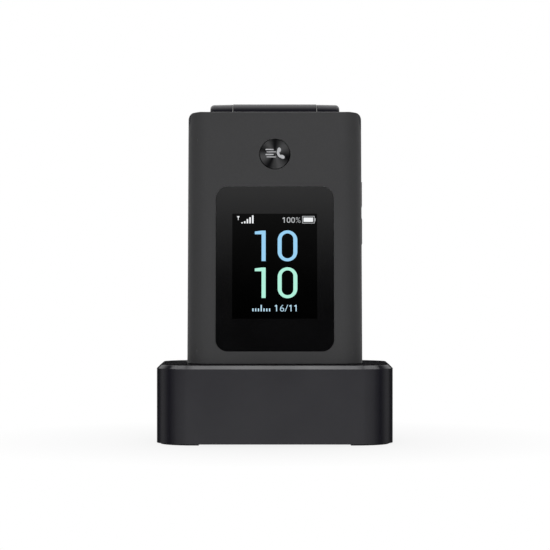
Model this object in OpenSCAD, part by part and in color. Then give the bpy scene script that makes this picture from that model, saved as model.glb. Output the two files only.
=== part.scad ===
// A flip phone standing in its charging cradle.
// The origin is the middle of the cradle's footprint on the floor: +X right, +Y back, +Z up.
// The phone's own pieces are drawn upright, lower end at z = 0 and parting plane at y = 0,
// and docked() leans them back into the cradle's pocket.

/* [Cradle] */
// Width of the cradle's shoulder on each side of the phone
cradle_shoulder = 9.8; // [9:0.1:16]
// Depth of the cradle, front to back
cradle_d = 50; // [48:0.5:64]
// Height of the phone's lower end over the floor
dock_z = 8.6; // [8.4:0.1:12]
// Radius of the cradle's upright corners
cradle_corner_r = 12; // [8:0.5:14]
// Bevel round the cradle's top edge
cradle_bevel = 1.2; // [0.6:0.1:1.8]
// Wall of the cradle's housing
cradle_wall = 2.2; // [1.8:0.1:2.4]
// Lip of the housing round the base plate
rebate_lip = 1; // [0.8:0.1:1.2]
// Thickness of the base plate
plate_t = 1.8; // [1.6:0.1:2.2]
// Width of each rubber foot
foot_w = 12.6; // [10:0.2:13]
// Distance from the cradle's side to the foot
foot_inset = 1.3; // [1.2:0.1:2]
// How far the feet stand out below the base plate
foot_proud = 0.4; // [0.3:0.1:0.8]
// Depth of the recess that holds each foot
foot_recess = 0.8; // [0.6:0.1:1]

/* [Docking] */
// Lean of the phone, in degrees
lean = 8; // [6:0.5:9]
// Clearance between the phone and the pocket
pocket_clear = 0.35; // [0.3:0.05:0.6]
// Wall and floor of the pocket
pocket_wall = 1.8; // [1.4:0.1:2]
// Distance from the cradle's front to the lid
lid_setback = 7.6; // [7.2:0.1:9]
// Gap between the lid's lower edge and the cradle's top
lid_hover = 0.35; // [0.3:0.05:1]
// Bevel along the sides of the pocket's mouth
mouth_bevel = 1.4; // [0.8:0.1:1.8]

/* [Phone] */
// Width of the phone
phone_w = 57; // [56:0.5:58]
// Thickness of the lid half
lid_t = 8.8; // [8.6:0.1:9.4]
// Thickness of the keypad half
base_t = 10.7; // [10.6:0.1:11.4]
// Length of the lid
lid_l = 83; // [83:0.5:90]
// Length of the full-thickness chin
chin_l = 16; // [15.6:0.1:17]
// Rounding of the lid's long edges
lid_edge_r = 7; // [5:0.5:7]
// Rounding of the back's long edges
back_edge_r = 6; // [4:0.5:6]
// Corner radius at the lid's top
top_corner_r = 1.8; // [1.8:0.1:4]
// Corner radius at the lower end
end_corner_r = 4; // [3:0.2:5]
// Rounding of the front and back edges at the lower end
end_edge_r = 1.5; // [1:0.1:1.8]
// Rounding of the front and back edges at the lid's top
top_edge_r = 0.6; // [0.4:0.1:1.5]
// Gap between parts that close on each other
seam = 0.3; // [0.25:0.05:0.4]
// Wall of the phone's housings
phone_wall = 1.5; // [1.3:0.1:1.6]

/* [Hinge] */
// Height of the lid's top over the hinge axis
hinge_drop = 1; // [0.8:0.1:1.1]
// Radius of the middle barrel
barrel_r = 5.1; // [5:0.1:5.3]
// Length of the middle barrel
barrel_l = 27.4; // [26:0.2:29]
// Length over all three barrels
hinge_l = 42.6; // [41:0.1:44]
// How much the outer barrels narrow toward their ends
knuckle_taper = 0.25; // [0.1:0.05:0.3]
// Radius of the pin and of the cartridge's head
hinge_pin_r = 2.4; // [2:0.1:2.6]
// Radius of the detent cartridge
cartridge_r = 3.3; // [3:0.1:3.5]
// Running clearance of the pin, of the head and of the cartridge
running_clear = 0.05; // [0.03:0.01:0.08]
// Angle that the lid opens to
open_angle = 160; // [150:1:162]

/* [Lid] */
// Distance from the outer window to the phone's flanks
window_margin = 9.4; // [8.4:0.1:11]
// Distance from the outer window to the lid's lower edge
window_foot = 4.1; // [4:0.1:8]
// Corner radius of the outer window
window_r = 3.8; // [2:0.1:5]
// Distance from the lid's top to the outer window
window_drop = 25; // [24:0.1:26]
// Thickness of the outer window
window_t = 0.9; // [0.7:0.1:1]
// Diameter of the quick-call key
call_d = 10; // [8:0.2:10.4]
// Distance from the lid's top to the middle of the quick-call key
call_drop = 14.1; // [13.6:0.1:14.2]
// Distance from the inner window to the phone's flanks
inner_window_margin = 4; // [3.5:0.25:6]
// Height of the earpiece's band over the inner window
earpiece_band = 9.15; // [9:0.05:11]
// Thickness of the lid's inner shell
inner_shell_t = 1.75; // [1.6:0.05:1.9]

/* [Keypad] */
// Distance from the keys to the phone's flanks
key_margin = 3.9; // [3.8:0.1:4.6]
// Distance from the lowest keys to the chin
key_foot = 2.9; // [2.6:0.1:4]
// Distance from the navigation ring to the lid's top
key_head = 17.2; // [17:0.1:19]
// Gap between neighbouring keys
key_gap = 1.2; // [1.1:0.1:1.6]
// Clearance round each key
key_clear = 0.2; // [0.15:0.05:0.3]
// Thickness of the keypad's front plate
frame_t = 1.5; // [1.4:0.1:1.6]
// How far the tops of the keys lie below the front plate's face
key_sink = 0.2; // [0.1:0.05:0.3]
// Travel of each key
key_travel = 0.3; // [0.2:0.05:0.35]
// Diameter of the navigation ring
ring_d = 24; // [22:0.5:24.5]
// Diameter of the OK key
ok_d = 10; // [9:0.5:11]
// Length of the volume rocker
rocker_l = 20.5; // [18:0.5:24]
// Width of the volume rocker
rocker_w = 3; // [2.6:0.1:3.2]
// Distance from the lid's top to the middle of the volume rocker
rocker_drop = 31.8; // [28:0.2:40]
// How far the volume rocker stands out of the flank
rocker_proud = 0.3; // [0.2:0.05:0.4]

/* [Battery] */
// Distance from the battery to the phone's flanks
battery_margin = 8.5; // [8.3:0.1:11]
// Height of the room for camera and loudspeaker over the battery
upper_room = 16; // [15.8:0.1:20]
// Thickness of the battery
battery_t = 3.9; // [3.5:0.1:4]
// Distance from the battery cover to the phone's flanks
cover_margin = 5; // [4.6:0.1:6]
// Thickness of the battery cover
cover_t = 1.1; // [0.9:0.1:1.2]

/* [Hidden] */
$fn = 96;

// Colours
cradle_colour = "#26262a";
shell_colour = "#414143";
inner_colour = "#2b2b2e";
key_colour = "#1f1f22";
rubber_colour = "#1b1b1c";
steel_colour = "#9a9ca0";
board_colour = "#1f5a3a";
part_colour = "#55565a";
glass_colour = "#0e0e10";
gold_colour = "#c9a24a";

// A length that reaches past anything it cuts
past = 60;
// A small overlap that keeps cuts clean
bite = 0.5;
// A slight gap between pieces that seat on each other
seat = 0.05;

// Heights along the phone, from its lower end
lid_z = chin_l + seam;
lid_top = lid_z + lid_l;
hinge_z = lid_top - hinge_drop;
half_seam = seam / 2;
barrel_clear = barrel_r + 0.35;
barrel_gap = 0.2;
below_barrel = hinge_z - barrel_clear;

// Widths and heights that follow from the phone's outline
cradle_w = phone_w + 2 * cradle_shoulder;
call_z = lid_top - call_drop;
window_w = phone_w - 2 * window_margin;
window_h = lid_l - window_drop - window_foot;
window_z = lid_z + window_foot;
inner_window_w = phone_w - 2 * inner_window_margin;
inner_window_z = lid_z + 6.4;
inner_window_h = below_barrel - earpiece_band - inner_window_z;

// The phone's lower end stands dock_y behind the cradle's middle, and the cradle ends just
// below the lid
dock_y = -cradle_d / 2 + lid_setback + lid_t * cos(lean) - lid_z * sin(lean);
cradle_h = dock_z + lid_t * sin(lean) + lid_z * cos(lean) - lid_hover;

// Depths in the keypad half, from the parting plane
frame_back = half_seam + frame_t;
flange_t = 0.5;
key_top = half_seam + key_sink;
flange_y = frame_back + seat;
nub_end = flange_y + flange_t + 0.2;
dome_t = 0.2;
sheet_t = 0.15;
board_t = 0.9;
dome_y = nub_end + key_travel + 0.05;
board_y = dome_y + dome_t + sheet_t;
board_back = board_y + board_t;
cover_y = base_t - cover_t;
battery_y = cover_y - battery_t - 0.1;
bay_floor_t = 0.6;
back_wall_y = base_t - phone_wall;

// Heights in the keypad half. The battery's height is a whole number of half millimetres
frame_top = below_barrel - 0.1;
room_top = frame_top - 1.2;
battery_z = chin_l + 10.5;
battery_w = phone_w - 2 * battery_margin;
battery_h = floor(2 * (room_top - upper_room - battery_z)) / 2;
bay_clear = 0.3;
bay_end_wall = 1.4;
cover_z = battery_z - 5;
cover_top = battery_z + battery_h + 3;
cover_w = phone_w - 2 * cover_margin;
board_z = 1.8;
board_x = phone_w / 2 - 3.5;
screw_x = phone_w / 2 - 6.3;
low_screw_z = 8;
high_screw_z = room_top - 2.3;
narrow_board_x = screw_x - 2.8;

// Places of the parts in the upper back, in the chin and under the battery
camera_x = -battery_w / 2 + 8;
camera_z = cover_top + 6;
camera_r = 2.6;
camera_window_r = 3.5;
camera_window_sink = 0.7;
speaker_x = battery_w / 2 - 11;
slot_pitch = 2.2;
slot_l = 6;
headset_x = -narrow_board_x + 5.9;
headset_r = 2.4;
sim_w = 14;
sim_l = 15;
sim_z = battery_z + 5;
microphone_x = narrow_board_x - 7.4;
motor_x = narrow_board_x - 6.4;

// The phone's screws, their posts and bores
phone_screw_r = 0.7;
phone_bore_r = 0.75;
phone_hole_r = 0.9;
phone_head_r = 1.4;
post_r = 1.9;
head_sink = 0.8;

// The keys' sizes and places: three columns, and four rows below the navigation ring
key_w = (phone_w - 2 * key_margin - 2 * key_gap) / 3;
column_pitch = key_w + key_gap;
columns = [-column_pitch, 0, column_pitch];
ring_gap = 1.4;
nav_z = lid_top - key_head - ring_d / 2;
rows_top = nav_z - ring_d / 2 - ring_gap;
rows_foot = lid_z + key_foot;
row_pitch = (rows_top - rows_foot + key_gap) / 4;
key_h = row_pitch - key_gap;
first_row_z = rows_foot + key_h / 2;
key_r = 1.5;

// Two keys on each side of the navigation ring
side_key_outer = phone_w / 2 - key_margin;
side_key_inner = ring_d / 2 + 1.9;
side_key_x = (side_key_outer + side_key_inner) / 2;
side_key_w = side_key_outer - side_key_inner;
side_key_h = 9;
side_key_offset = 7;

// Lengths in the hinge
cartridge_l = 15;
pin_reach = 5;

// Depths in the lid, from the parting plane toward the front
call_front = -lid_t - 0.1;
lid_inner_y = -half_seam - inner_shell_t;
lid_room_y = -lid_t + phone_wall;
lid_board_t = 0.8;
lid_board_y = -4.6;
lid_screw_x = phone_w / 2 - 5.1;
lid_room_top = below_barrel - 0.9;
lid_screw_low = lid_z + 4;
lid_screw_high = lid_room_top - 2.4;
earpiece_z = lid_room_top - 3.2;

// The cradle's inside
plate_z = foot_proud;
plate_top = plate_z + plate_t;
plate_gap = 0.1;
floor_gap = 0.05;
pocket_side = phone_w / 2 + pocket_clear;
pocket_low = dock_z - (base_t + pocket_clear + pocket_wall) * sin(lean)
    - (pocket_wall + floor_gap) * cos(lean);
boss_x = (pocket_side + cradle_w / 2 - cradle_wall) / 2;
boss_y = [-1, 1] * (cradle_d / 2 - cradle_corner_r + 1);
boss_r = 3;
boss_low = plate_top + 3;
cradle_screw_r = 1.3;
cradle_screw_top = 13;
cradle_bore_r = 1.35;
cradle_head_r = 2.5;
cup_r = 2.8;
cup_top = plate_z + foot_recess + 2.2;
cradle_board_z = plate_top + 0.7;
cradle_board_t = 1;
cradle_board_top = cradle_board_z + cradle_board_t;
weight_top = plate_top + 9;

// The USB-C sockets of cradle and phone
usb_w = 9;
usb_h = 3.2;
usb_r = 1.3;
usb_shell = 0.35;
usb_clear = 0.15;
usb_tongue_x = 3.2;
usb_tongue_t = 0.35;

// The cradle's contacts, in the phone's frame
contact_x = 4.5;
contact_y = -1.5;
pad_t = 0.3;
pin_travel = 0.4;
pin_r = 0.9;
pin_tip_r = 0.6;
pin_head_y = -1.1;
block_floor = 0.3;
block_x = contact_x + 2.9;
block_half = 1.9;
block_clear = 0.1;
block_bottom = (cradle_board_top + 0.4 - dock_z) / cos(lean);

// The phone's place in the cradle's pocket
module docked() {
    translate([0, dock_y, dock_z]) rotate([-lean, 0, 0]) children();
}

// Extrudes a profile drawn in X and Z along Y, from y0 to y1
module along_y(y0, y1) {
    translate([0, y1, 0]) rotate([90, 0, 0]) linear_extrude(height = y1 - y0) children();
}

// Extrudes a profile drawn in Y and Z along X, from x0 to x1
module along_x(x0, x1) {
    translate([x0, 0, 0]) rotate([90, 0, 90]) linear_extrude(height = x1 - x0) children();
}

// Turns what is drawn along +Z so that it points along +X from the hinge axis
module on_hinge(x) {
    translate([x, 0, hinge_z]) rotate([0, 90, 0]) children();
}

// A box between two opposite corners
module between(low, high) {
    translate(low) cube(high - low);
}

// A rectangle with round corners, centred on the origin
module round_rect(w, h, r) {
    square([w - 2 * r, h], center = true);
    square([w, h - 2 * r], center = true);
    for (x = [-1, 1], y = [-1, 1])
        translate([x * (w / 2 - r), y * (h / 2 - r)]) circle(r = r);
}

// The phone's cross-section in X and Y, made smaller all round by inset
module phone_section(inset) {
    front_x = phone_w / 2 - lid_edge_r;
    back_x = phone_w / 2 - back_edge_r;
    front_y = -lid_t + lid_edge_r;
    back_y = base_t - back_edge_r;
    translate([-phone_w / 2 + inset, front_y])
        square([phone_w - 2 * inset, back_y - front_y]);
    translate([-front_x, -lid_t + inset]) square([2 * front_x, lid_edge_r - inset + bite]);
    translate([-back_x, back_y - bite]) square([2 * back_x, back_edge_r - inset + bite]);
    for (side = [-1, 1]) {
        translate([side * front_x, front_y]) circle(r = lid_edge_r - inset);
        translate([side * back_x, back_y]) circle(r = back_edge_r - inset);
    }
}

// The phone's outline seen from the front, in X and Z
module phone_front(inset) {
    top_x = phone_w / 2 - top_corner_r;
    end_x = phone_w / 2 - end_corner_r;
    translate([-phone_w / 2 + inset, end_corner_r])
        square([phone_w - 2 * inset, lid_top - top_corner_r - end_corner_r]);
    translate([-top_x, lid_top - top_corner_r - bite])
        square([2 * top_x, top_corner_r + bite - inset]);
    translate([-end_x, inset]) square([2 * end_x, end_corner_r]);
    for (side = [-1, 1]) {
        translate([side * top_x, lid_top - top_corner_r]) circle(r = top_corner_r - inset);
        translate([side * end_x, end_corner_r]) circle(r = end_corner_r - inset);
    }
}

// The phone's outline seen from the side, in Y and Z
module phone_side(inset) {
    front = -lid_t + inset;
    back = base_t - inset;
    low_r = max(end_edge_r - inset, 0.2);
    top_r = max(top_edge_r - inset, 0.2);
    low = inset + low_r;
    high = lid_top - inset - top_r;
    translate([front, low]) square([back - front, high - low]);
    translate([front + low_r, inset]) square([back - front - 2 * low_r, low_r + bite]);
    translate([front + top_r, high - bite]) square([back - front - 2 * top_r, top_r + bite]);
    for (y = [front + low_r, back - low_r]) translate([y, low]) circle(r = low_r);
    for (y = [front + top_r, back - top_r]) translate([y, high]) circle(r = top_r);
}

// The closed phone without its barrels, made smaller all round by inset
module phone_form(inset = 0) {
    intersection() {
        linear_extrude(height = lid_top + past) phone_section(inset);
        along_y(-past, past) phone_front(inset);
        along_x(-past, past) phone_side(inset);
    }
}

// An outer barrel of the hinge, from its inner face outward, with a rounded end
module knuckle(side) {
    inner_x = barrel_l / 2 + barrel_gap;
    outer_x = hinge_l / 2;
    end_r = 1.3;
    length = outer_x - inner_x;
    on_hinge(side * inner_x) mirror([0, 0, side < 0 ? 1 : 0]) {
        cylinder(h = length - end_r, r1 = barrel_r - knuckle_taper / 2, r2 = barrel_r - knuckle_taper);
        rotate_extrude() {
            translate([0, length - end_r - 0.01])
                square([barrel_r - knuckle_taper - end_r, end_r + 0.01]);
            intersection() {
                translate([barrel_r - knuckle_taper - end_r, length - end_r]) circle(r = end_r);
                translate([0, length - end_r - 0.01]) square([barrel_r, end_r + 0.01]);
            }
        }
    }
}

// Room for the outer barrels, cut from the lid
module knuckle_room() {
    inner_x = barrel_l / 2;
    outer_x = hinge_l / 2 + barrel_gap;
    for (side = [-1, 1])
        on_hinge(side > 0 ? inner_x : -outer_x) cylinder(h = outer_x - inner_x, r = barrel_clear);
}

// What the keypad half may fill at its top: a ramp that the open lid's top face comes to rest
// above, with the slope that the lid's top face has when the lid is open
module below_ramp() {
    ramp_clear = 0.35;
    slope = tan(180 - open_angle);
    start = (hinge_drop + ramp_clear) / cos(180 - open_angle);
    ramp_end = (hinge_drop + start) / slope;
    translate([0, hinge_z]) polygon([
        [-past, -lid_top - past], [past, -lid_top - past], [past, hinge_drop],
        [ramp_end, hinge_drop], [0, -start], [-past, -start]
    ]);
}

// What lies above or below a slanted cut, which is level with the cradle's top while the
// phone is docked, and meets the lid's face at height z
module above_slant(z) {
    rise = tan(lean);
    along_x(-past, past) polygon([[-past, z + rise * (lid_t - past)],
        [past, z + rise * (lid_t + past)], [past, lid_top + past], [-past, lid_top + past]]);
}

module below_slant(z) {
    rise = tan(lean);
    along_x(-past, past) polygon([[-past, z + rise * (lid_t - past)],
        [past, z + rise * (lid_t + past)], [past, -past], [-past, -past]]);
}

// ---------------------------------------------------------------- cradle

// A block with round upright corners and a bevelled top edge, standing on z = 0
module bevelled_block(w, d, h, r, bevel) {
    x = w / 2 - r;
    y = d / 2 - r;
    for (i = [-1, 1], j = [-1, 1]) translate([i * x, j * y, 0]) {
        cylinder(h = h - bevel, r = r);
        translate([0, 0, h - bevel]) cylinder(h = bevel, r1 = r, r2 = r - bevel);
    }
    along_x(-x, x) bevelled_profile(d, h, bevel);
    along_y(-y, y) bevelled_profile(w, h, bevel);
}

// The upright section of a block with a bevelled top edge
module bevelled_profile(w, h, bevel) {
    polygon([[-w / 2, 0], [w / 2, 0], [w / 2, h - bevel], [w / 2 - bevel, h],
        [-w / 2 + bevel, h], [-w / 2, h - bevel]]);
}

// The leaning pocket, grown all round by more than the phone's own section
module pocket(grow, depth) {
    docked() translate([0, 0, -depth])
        linear_extrude(height = chin_l + past + depth) phone_section(-grow);
}

// The bevel along both sides of the pocket's mouth
module mouth_bevels() {
    mouth_front = -cradle_d / 2 + lid_setback + lid_edge_r;
    mouth_back = mouth_front + lid_t + base_t - lid_edge_r - back_edge_r;
    for (side = [-1, 1]) along_y(mouth_front, mouth_back)
        polygon([[0, cradle_h + bite], [side * (pocket_side + mouth_bevel + bite), cradle_h + bite],
            [side * (pocket_side - bite), cradle_h - mouth_bevel - bite],
            [0, cradle_h - mouth_bevel - bite]]);
}

module cradle_housing() color(cradle_colour) {
    inner_w = cradle_w - 2 * cradle_wall;
    inner_d = cradle_d - 2 * cradle_wall;
    inner_r = cradle_corner_r - cradle_wall;
    rib_t = 1.5;
    rib_x = 20;
    difference() {
        union() {
            difference() {
                translate([0, 0, foot_proud]) bevelled_block(cradle_w, cradle_d,
                    cradle_h - foot_proud, cradle_corner_r, cradle_bevel);
                linear_extrude(height = cradle_h - cradle_wall) round_rect(inner_w, inner_d, inner_r);
            }
            intersection() {
                pocket(pocket_clear + pocket_wall, pocket_wall + floor_gap);
                between([-cradle_w / 2, -cradle_d / 2 + bite, foot_proud],
                    [cradle_w / 2, cradle_d / 2 - bite, cradle_h - bite]);
            }
            at_cradle_screws() translate([0, 0, boss_low])
                cylinder(h = cradle_h - boss_low - 1, r = boss_r);
            // Ribs from the pocket to the back wall
            for (side = [-1, 1])
                between([side * rib_x - rib_t / 2, 0, weight_top + 0.4],
                    [side * rib_x + rib_t / 2, cradle_d / 2 - bite, cradle_h - bite]);
        }
        pocket(pocket_clear, floor_gap);
        mouth_bevels();
        // Rebate for the base plate
        linear_extrude(height = plate_top) round_rect(cradle_w - 2 * rebate_lip,
            cradle_d - 2 * rebate_lip, cradle_corner_r - rebate_lip);
        at_cradle_screws() cylinder(h = cradle_screw_top + 1, r = cradle_bore_r);
        // Opening for the contact block
        docked() between(
            [-block_x - block_clear, contact_y - block_half - block_clear, -pocket_wall - 1],
            [block_x + block_clear, contact_y + block_half + block_clear, 1]);
        // Opening for the charging plug
        between([-usb_w / 2 - usb_clear, cradle_d / 2 - cradle_wall - 1, cradle_board_top - usb_clear],
            [usb_w / 2 + usb_clear, cradle_d / 2 + 1, cradle_board_top + usb_h + usb_clear]);
    }
}

// How far back the pocket's outer wall lies at a height over the floor
function pocket_back_at(z) =
    dock_y + (base_t + pocket_clear + pocket_wall) / cos(lean) + (z - dock_z) * tan(lean);

// The four screw places in the cradle's shoulders
module at_cradle_screws() {
    for (side = [-1, 1], y = boss_y) translate([side * boss_x, y, 0]) children();
}

module cradle_base_plate() color(cradle_colour) {
    inset = rebate_lip + plate_gap;
    board_post_r = 1.6;
    difference() {
        union() {
            translate([0, 0, plate_z]) linear_extrude(height = plate_t - seat)
                round_rect(cradle_w - 2 * inset, cradle_d - 2 * inset, cradle_corner_r - inset);
            at_cradle_screws() translate([0, 0, plate_z + bite])
                cylinder(h = boss_low - plate_z - bite - seat, r = cup_r + 0.3);
            // Posts under the circuit board
            for (x = [-10, 10], y = [-12, 18]) translate([x, y, plate_z + bite])
                cylinder(h = cradle_board_z - plate_z - bite, r = board_post_r);
        }
        translate([0, 0, -1]) linear_extrude(height = plate_z + foot_recess + 1) foot_outlines(0.1);
        at_cradle_screws() {
            cylinder(h = cup_top, r = cup_r);
            cylinder(h = past, r = cradle_screw_r + 0.3);
        }
    }
}

// The outlines of both feet, grown all round by more
module foot_outlines(grow) {
    for (side = [-1, 1]) intersection() {
        round_rect(cradle_w - 2 * foot_inset + 2 * grow, cradle_d - 2 * foot_inset + 2 * grow,
            cradle_corner_r - foot_inset + grow);
        translate([side * (cradle_w / 2 - foot_inset - foot_w / 2), 0])
            square([foot_w + 2 * grow, cradle_d], center = true);
    }
}

module cradle_feet() color(rubber_colour) {
    linear_extrude(height = foot_proud + foot_recess - seat) foot_outlines(0);
}

// Steel weights on each side of the board: low under the pocket, high behind it
module cradle_weights() color(steel_colour) {
    inner_x = 15;
    outer_x = boss_x - 4;
    front_y = -cradle_d / 2 + 13;
    high_y = pocket_back_at(weight_top) + 2.6;
    back_y = cradle_d / 2 - cradle_wall - 1;
    for (side = [-1, 1]) mirror([side < 0 ? 1 : 0, 0, 0]) {
        between([inner_x, front_y, plate_top], [outer_x, back_y, pocket_low - 0.5]);
        between([inner_x, high_y, plate_top], [outer_x, back_y, weight_top]);
    }
}

module cradle_board() color(board_colour) {
    board_w = 26;
    front_y = -cradle_d / 2 + 9.5;
    back_y = cradle_d / 2 - cradle_wall - 1.3;
    translate([0, (front_y + back_y) / 2, cradle_board_z + seat])
        linear_extrude(height = cradle_board_t - seat) round_rect(board_w, back_y - front_y, 1);
}

module cradle_usb_socket() color(steel_colour) {
    front_y = cradle_d / 2 - 8;
    back_y = cradle_d / 2 - 0.6;
    translate([0, 0, cradle_board_top + usb_h / 2]) {
        difference() {
            along_y(front_y, back_y) round_rect(usb_w, usb_h, usb_r);
            along_y(front_y + 1, back_y + 1) usb_inside();
        }
        between([-usb_tongue_x, front_y + 0.5, -usb_tongue_t],
            [usb_tongue_x, back_y - 1, usb_tongue_t]);
    }
}

// The room inside a USB-C socket's shell
module usb_inside() {
    round_rect(usb_w - 2 * usb_shell, usb_h - 2 * usb_shell, usb_r - usb_shell);
}

module cradle_contact_block() color(inner_colour) docked() difference() {
    between([-block_x, contact_y - block_half, block_bottom],
        [block_x, contact_y + block_half, -floor_gap - 0.2]);
    for (side = [-1, 1]) translate([side * contact_x, contact_y, block_bottom + block_floor]) {
        cylinder(h = pin_head_y - block_bottom - block_floor, r = pin_r + running_clear);
        cylinder(h = past, r = pin_tip_r + running_clear);
    }
}

// A sprung pin, ready just under the phone's contact pad
module contact_pin(side) color(gold_colour) docked() {
    tip_end = -seat;
    tip_low = tip_end - pin_tip_r;
    tail = block_bottom + block_floor + pin_travel + seat;
    translate([side * contact_x, contact_y, 0]) rotate_extrude() {
        translate([0, tail]) square([pin_r, pin_head_y - seat - tail]);
        translate([0, tail]) square([pin_tip_r, tip_low - tail]);
        intersection() {
            translate([0, tip_low]) circle(r = pin_tip_r);
            translate([0, tip_low - 0.01]) square([pin_tip_r, pin_tip_r + 0.01]);
        }
    }
}

module cradle_screws() color(steel_colour) {
    head_z = plate_z + foot_recess + 0.3;
    at_cradle_screws() translate([0, 0, head_z]) {
        cylinder(h = cup_top - seat - head_z, r = cradle_head_r);
        cylinder(h = cradle_screw_top - head_z, r = cradle_screw_r);
    }
}

// ---------------------------------------------------------------- keypad half

// The two screw places at each end of the keypad half
module at_base_screws() {
    for (side = [-1, 1], z = [low_screw_z, high_screw_z]) translate([side * screw_x, 0, z]) children();
}

// A round bar along Y, from y0 to y1
module rod(y0, y1, r) {
    translate([0, y1, 0]) rotate([90, 0, 0]) cylinder(h = y1 - y0, r = r);
}

module base_housing() color(shell_colour) docked() difference() {
    union() {
        difference() {
            intersection() {
                phone_form();
                union() {
                    between([-past, frame_back, 0], [past, past, lid_top + past]);
                    between([-past, half_seam, frame_top + 0.1], [past, past, lid_top + past]);
                }
                along_x(-past, past) below_ramp();
            }
            // Rooms in front of, below and above the battery
            intersection() {
                phone_form(phone_wall);
                union() {
                    between([-past, -past, 0], [past, battery_y - bay_floor_t - 0.1, room_top]);
                    between([-past, -past, 0],
                        [past, back_wall_y, battery_z - bay_clear - bay_end_wall]);
                    between([-past, -past, battery_z + battery_h + bay_clear + bay_end_wall],
                        [past, back_wall_y, room_top]);
                }
            }
            // Room for the middle barrel
            on_hinge(-barrel_l / 2 - barrel_gap)
                cylinder(h = barrel_l + 2 * barrel_gap, r = barrel_clear);
        }
        for (side = [-1, 1]) knuckle(side);
        at_base_screws() rod(board_back + 0.4, back_wall_y + bite, post_r + 0.2);
    }
    battery_bay();
    cover_recess(0.15);
    // Sockets for the cartridge's head and the hinge pin
    for (side = [-1, 1]) on_hinge(side > 0 ? 0 : -barrel_l / 2 - pin_reach - 0.5)
        cylinder(h = barrel_l / 2 + pin_reach + 0.5, r = hinge_pin_r + running_clear);
    at_base_screws() {
        rod(0, base_t, phone_hole_r);
        rod(back_wall_y - head_sink, past, phone_head_r + 0.1);
    }
    // Camera window and lens
    translate([camera_x, 0, camera_z]) {
        rod(base_t - camera_window_sink, past, camera_window_r + 0.1);
        translate([0, base_t - 0.3, 0]) rotate([-90, 0, 0])
            cylinder(h = 0.4, r1 = camera_window_r + 0.1, r2 = camera_window_r + 0.5);
        rod(0, past, camera_r);
    }
    // Sound slots of the loudspeaker
    for (i = [-2:2]) translate([speaker_x + i * slot_pitch, 0, camera_z])
        along_y(back_wall_y - bite, past) round_rect(1, slot_l, 0.49);
    // Volume rocker's slot
    rocker_place() between([-3, -rocker_l / 2 - 0.2, -rocker_w / 2 - 0.15],
        [past, rocker_l / 2 + 0.2, rocker_w / 2 + 0.15]);
    usb_place() translate([0, 0, -past]) linear_extrude(height = past + 8)
        round_rect(usb_w + 2 * usb_clear, usb_h + 2 * usb_clear, usb_r + 0.1);
    headset_hole();
    // Notch for the nail that lifts the battery cover
    translate([0, base_t + notch_r - notch_depth, cover_z - 0.15]) rotate([0, 90, 0])
        cylinder(h = 12, r = notch_r, center = true);
}

notch_r = 4;
notch_depth = 0.7;

// The battery's bay, open at the back
module battery_bay() {
    translate([0, 0, battery_z + battery_h / 2]) along_y(battery_y - 0.1, past)
        round_rect(battery_w + 2 * bay_clear, battery_h + 2 * bay_clear, 1);
    // Opening over the SIM socket
    between([-sim_w / 2 - 1, board_back, sim_z - 1], [sim_w / 2 + 1, battery_y, sim_z + sim_l + 1]);
    // Opening for the battery's spring contacts
    between([-6, board_back, battery_z + battery_h - 4], [6, battery_y, battery_z + battery_h + 1]);
}

// The battery cover's outline, with a clearance all round
module cover_recess(clear) {
    translate([0, 0, (cover_z + cover_top) / 2]) along_y(cover_y - clear / 2, past)
        round_rect(cover_w + 2 * clear, cover_top - cover_z + 2 * clear, 3);
}

module keypad_frame() color(inner_colour) docked() difference() {
    union() {
        difference() {
            intersection() {
                phone_form();
                union() {
                    between([-past, half_seam, 0], [past, frame_back - seat / 2, frame_top]);
                    intersection() {
                        between([-past, -past, 0], [past, frame_back - seat / 2, lid_top]);
                        below_slant(chin_l);
                    }
                }
            }
            // The chin is hollow behind its front wall and below its top wall
            intersection() {
                phone_form(phone_wall);
                below_slant(chin_l - phone_wall);
            }
        }
        at_base_screws() rod(half_seam, board_back + 0.3, post_r);
        for (side = [-1, 1]) translate([side * screw_x, 0, low_screw_z])
            rod(lid_room_y - 0.4, half_seam + bite, post_r);
    }
    at_base_screws() rod(half_seam + 0.7, past, phone_bore_r);
    key_cuts();
    charging_slots();
    headset_hole();
    microphone_place() rod(-past, 0, 0.6);
}

// The openings for every key
module key_cuts() {
    for (column = columns, row = [0:3]) translate([column, 0, first_row_z + row * row_pitch])
        along_y(-1, past) round_rect(key_w + 2 * key_clear, key_h + 2 * key_clear, key_r + key_clear);
    for (x = [-1, 1], z = [-1, 1]) translate([x * side_key_x, 0, nav_z + z * side_key_offset])
        along_y(-1, past)
            round_rect(side_key_w + 2 * key_clear, side_key_h + 2 * key_clear, key_r + key_clear);
    translate([0, 0, nav_z]) rod(-1, past, ring_d / 2 + key_clear);
}

// A key: a bevelled cap through the front plate, a flange that keeps it in, and a nub over
// its dome
module key(w, h) color(key_colour) {
    intersection() {
        along_y(key_top, flange_y + bite) round_rect(w, h, key_r);
        rotate([0, 90, 0]) linear_extrude(height = w + 1, center = true) cap_section(h);
        linear_extrude(height = h + 1, center = true) cap_section(w);
    }
    along_y(flange_y, flange_y + flange_t)
        round_rect(w + 2 * flange_reach, h + 2 * flange_reach, key_r);
    rod(flange_y, nub_end, nub_r);
}

// The section across a key's cap: bevelled front edges, and a face that is crowned toward
// its middle
module cap_section(w) {
    edge = w / 2 - cap_bevel;
    face = w / 2 - crown_w;
    polygon([[-w / 2, past], [-w / 2, key_top + crown + cap_bevel], [-edge, key_top + crown],
        [-face, key_top], [face, key_top], [edge, key_top + crown],
        [w / 2, key_top + crown + cap_bevel], [w / 2, past]]);
}

cap_bevel = 0.3;
crown = 0.15;
crown_w = 2.2;
flange_reach = 0.2;
nub_r = 1.5;
ring_nub_r = 1.2;

module number_key(column, row) docked() {
    translate([columns[column], 0, first_row_z + row * row_pitch]) key(key_w, key_h);
}

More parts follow.
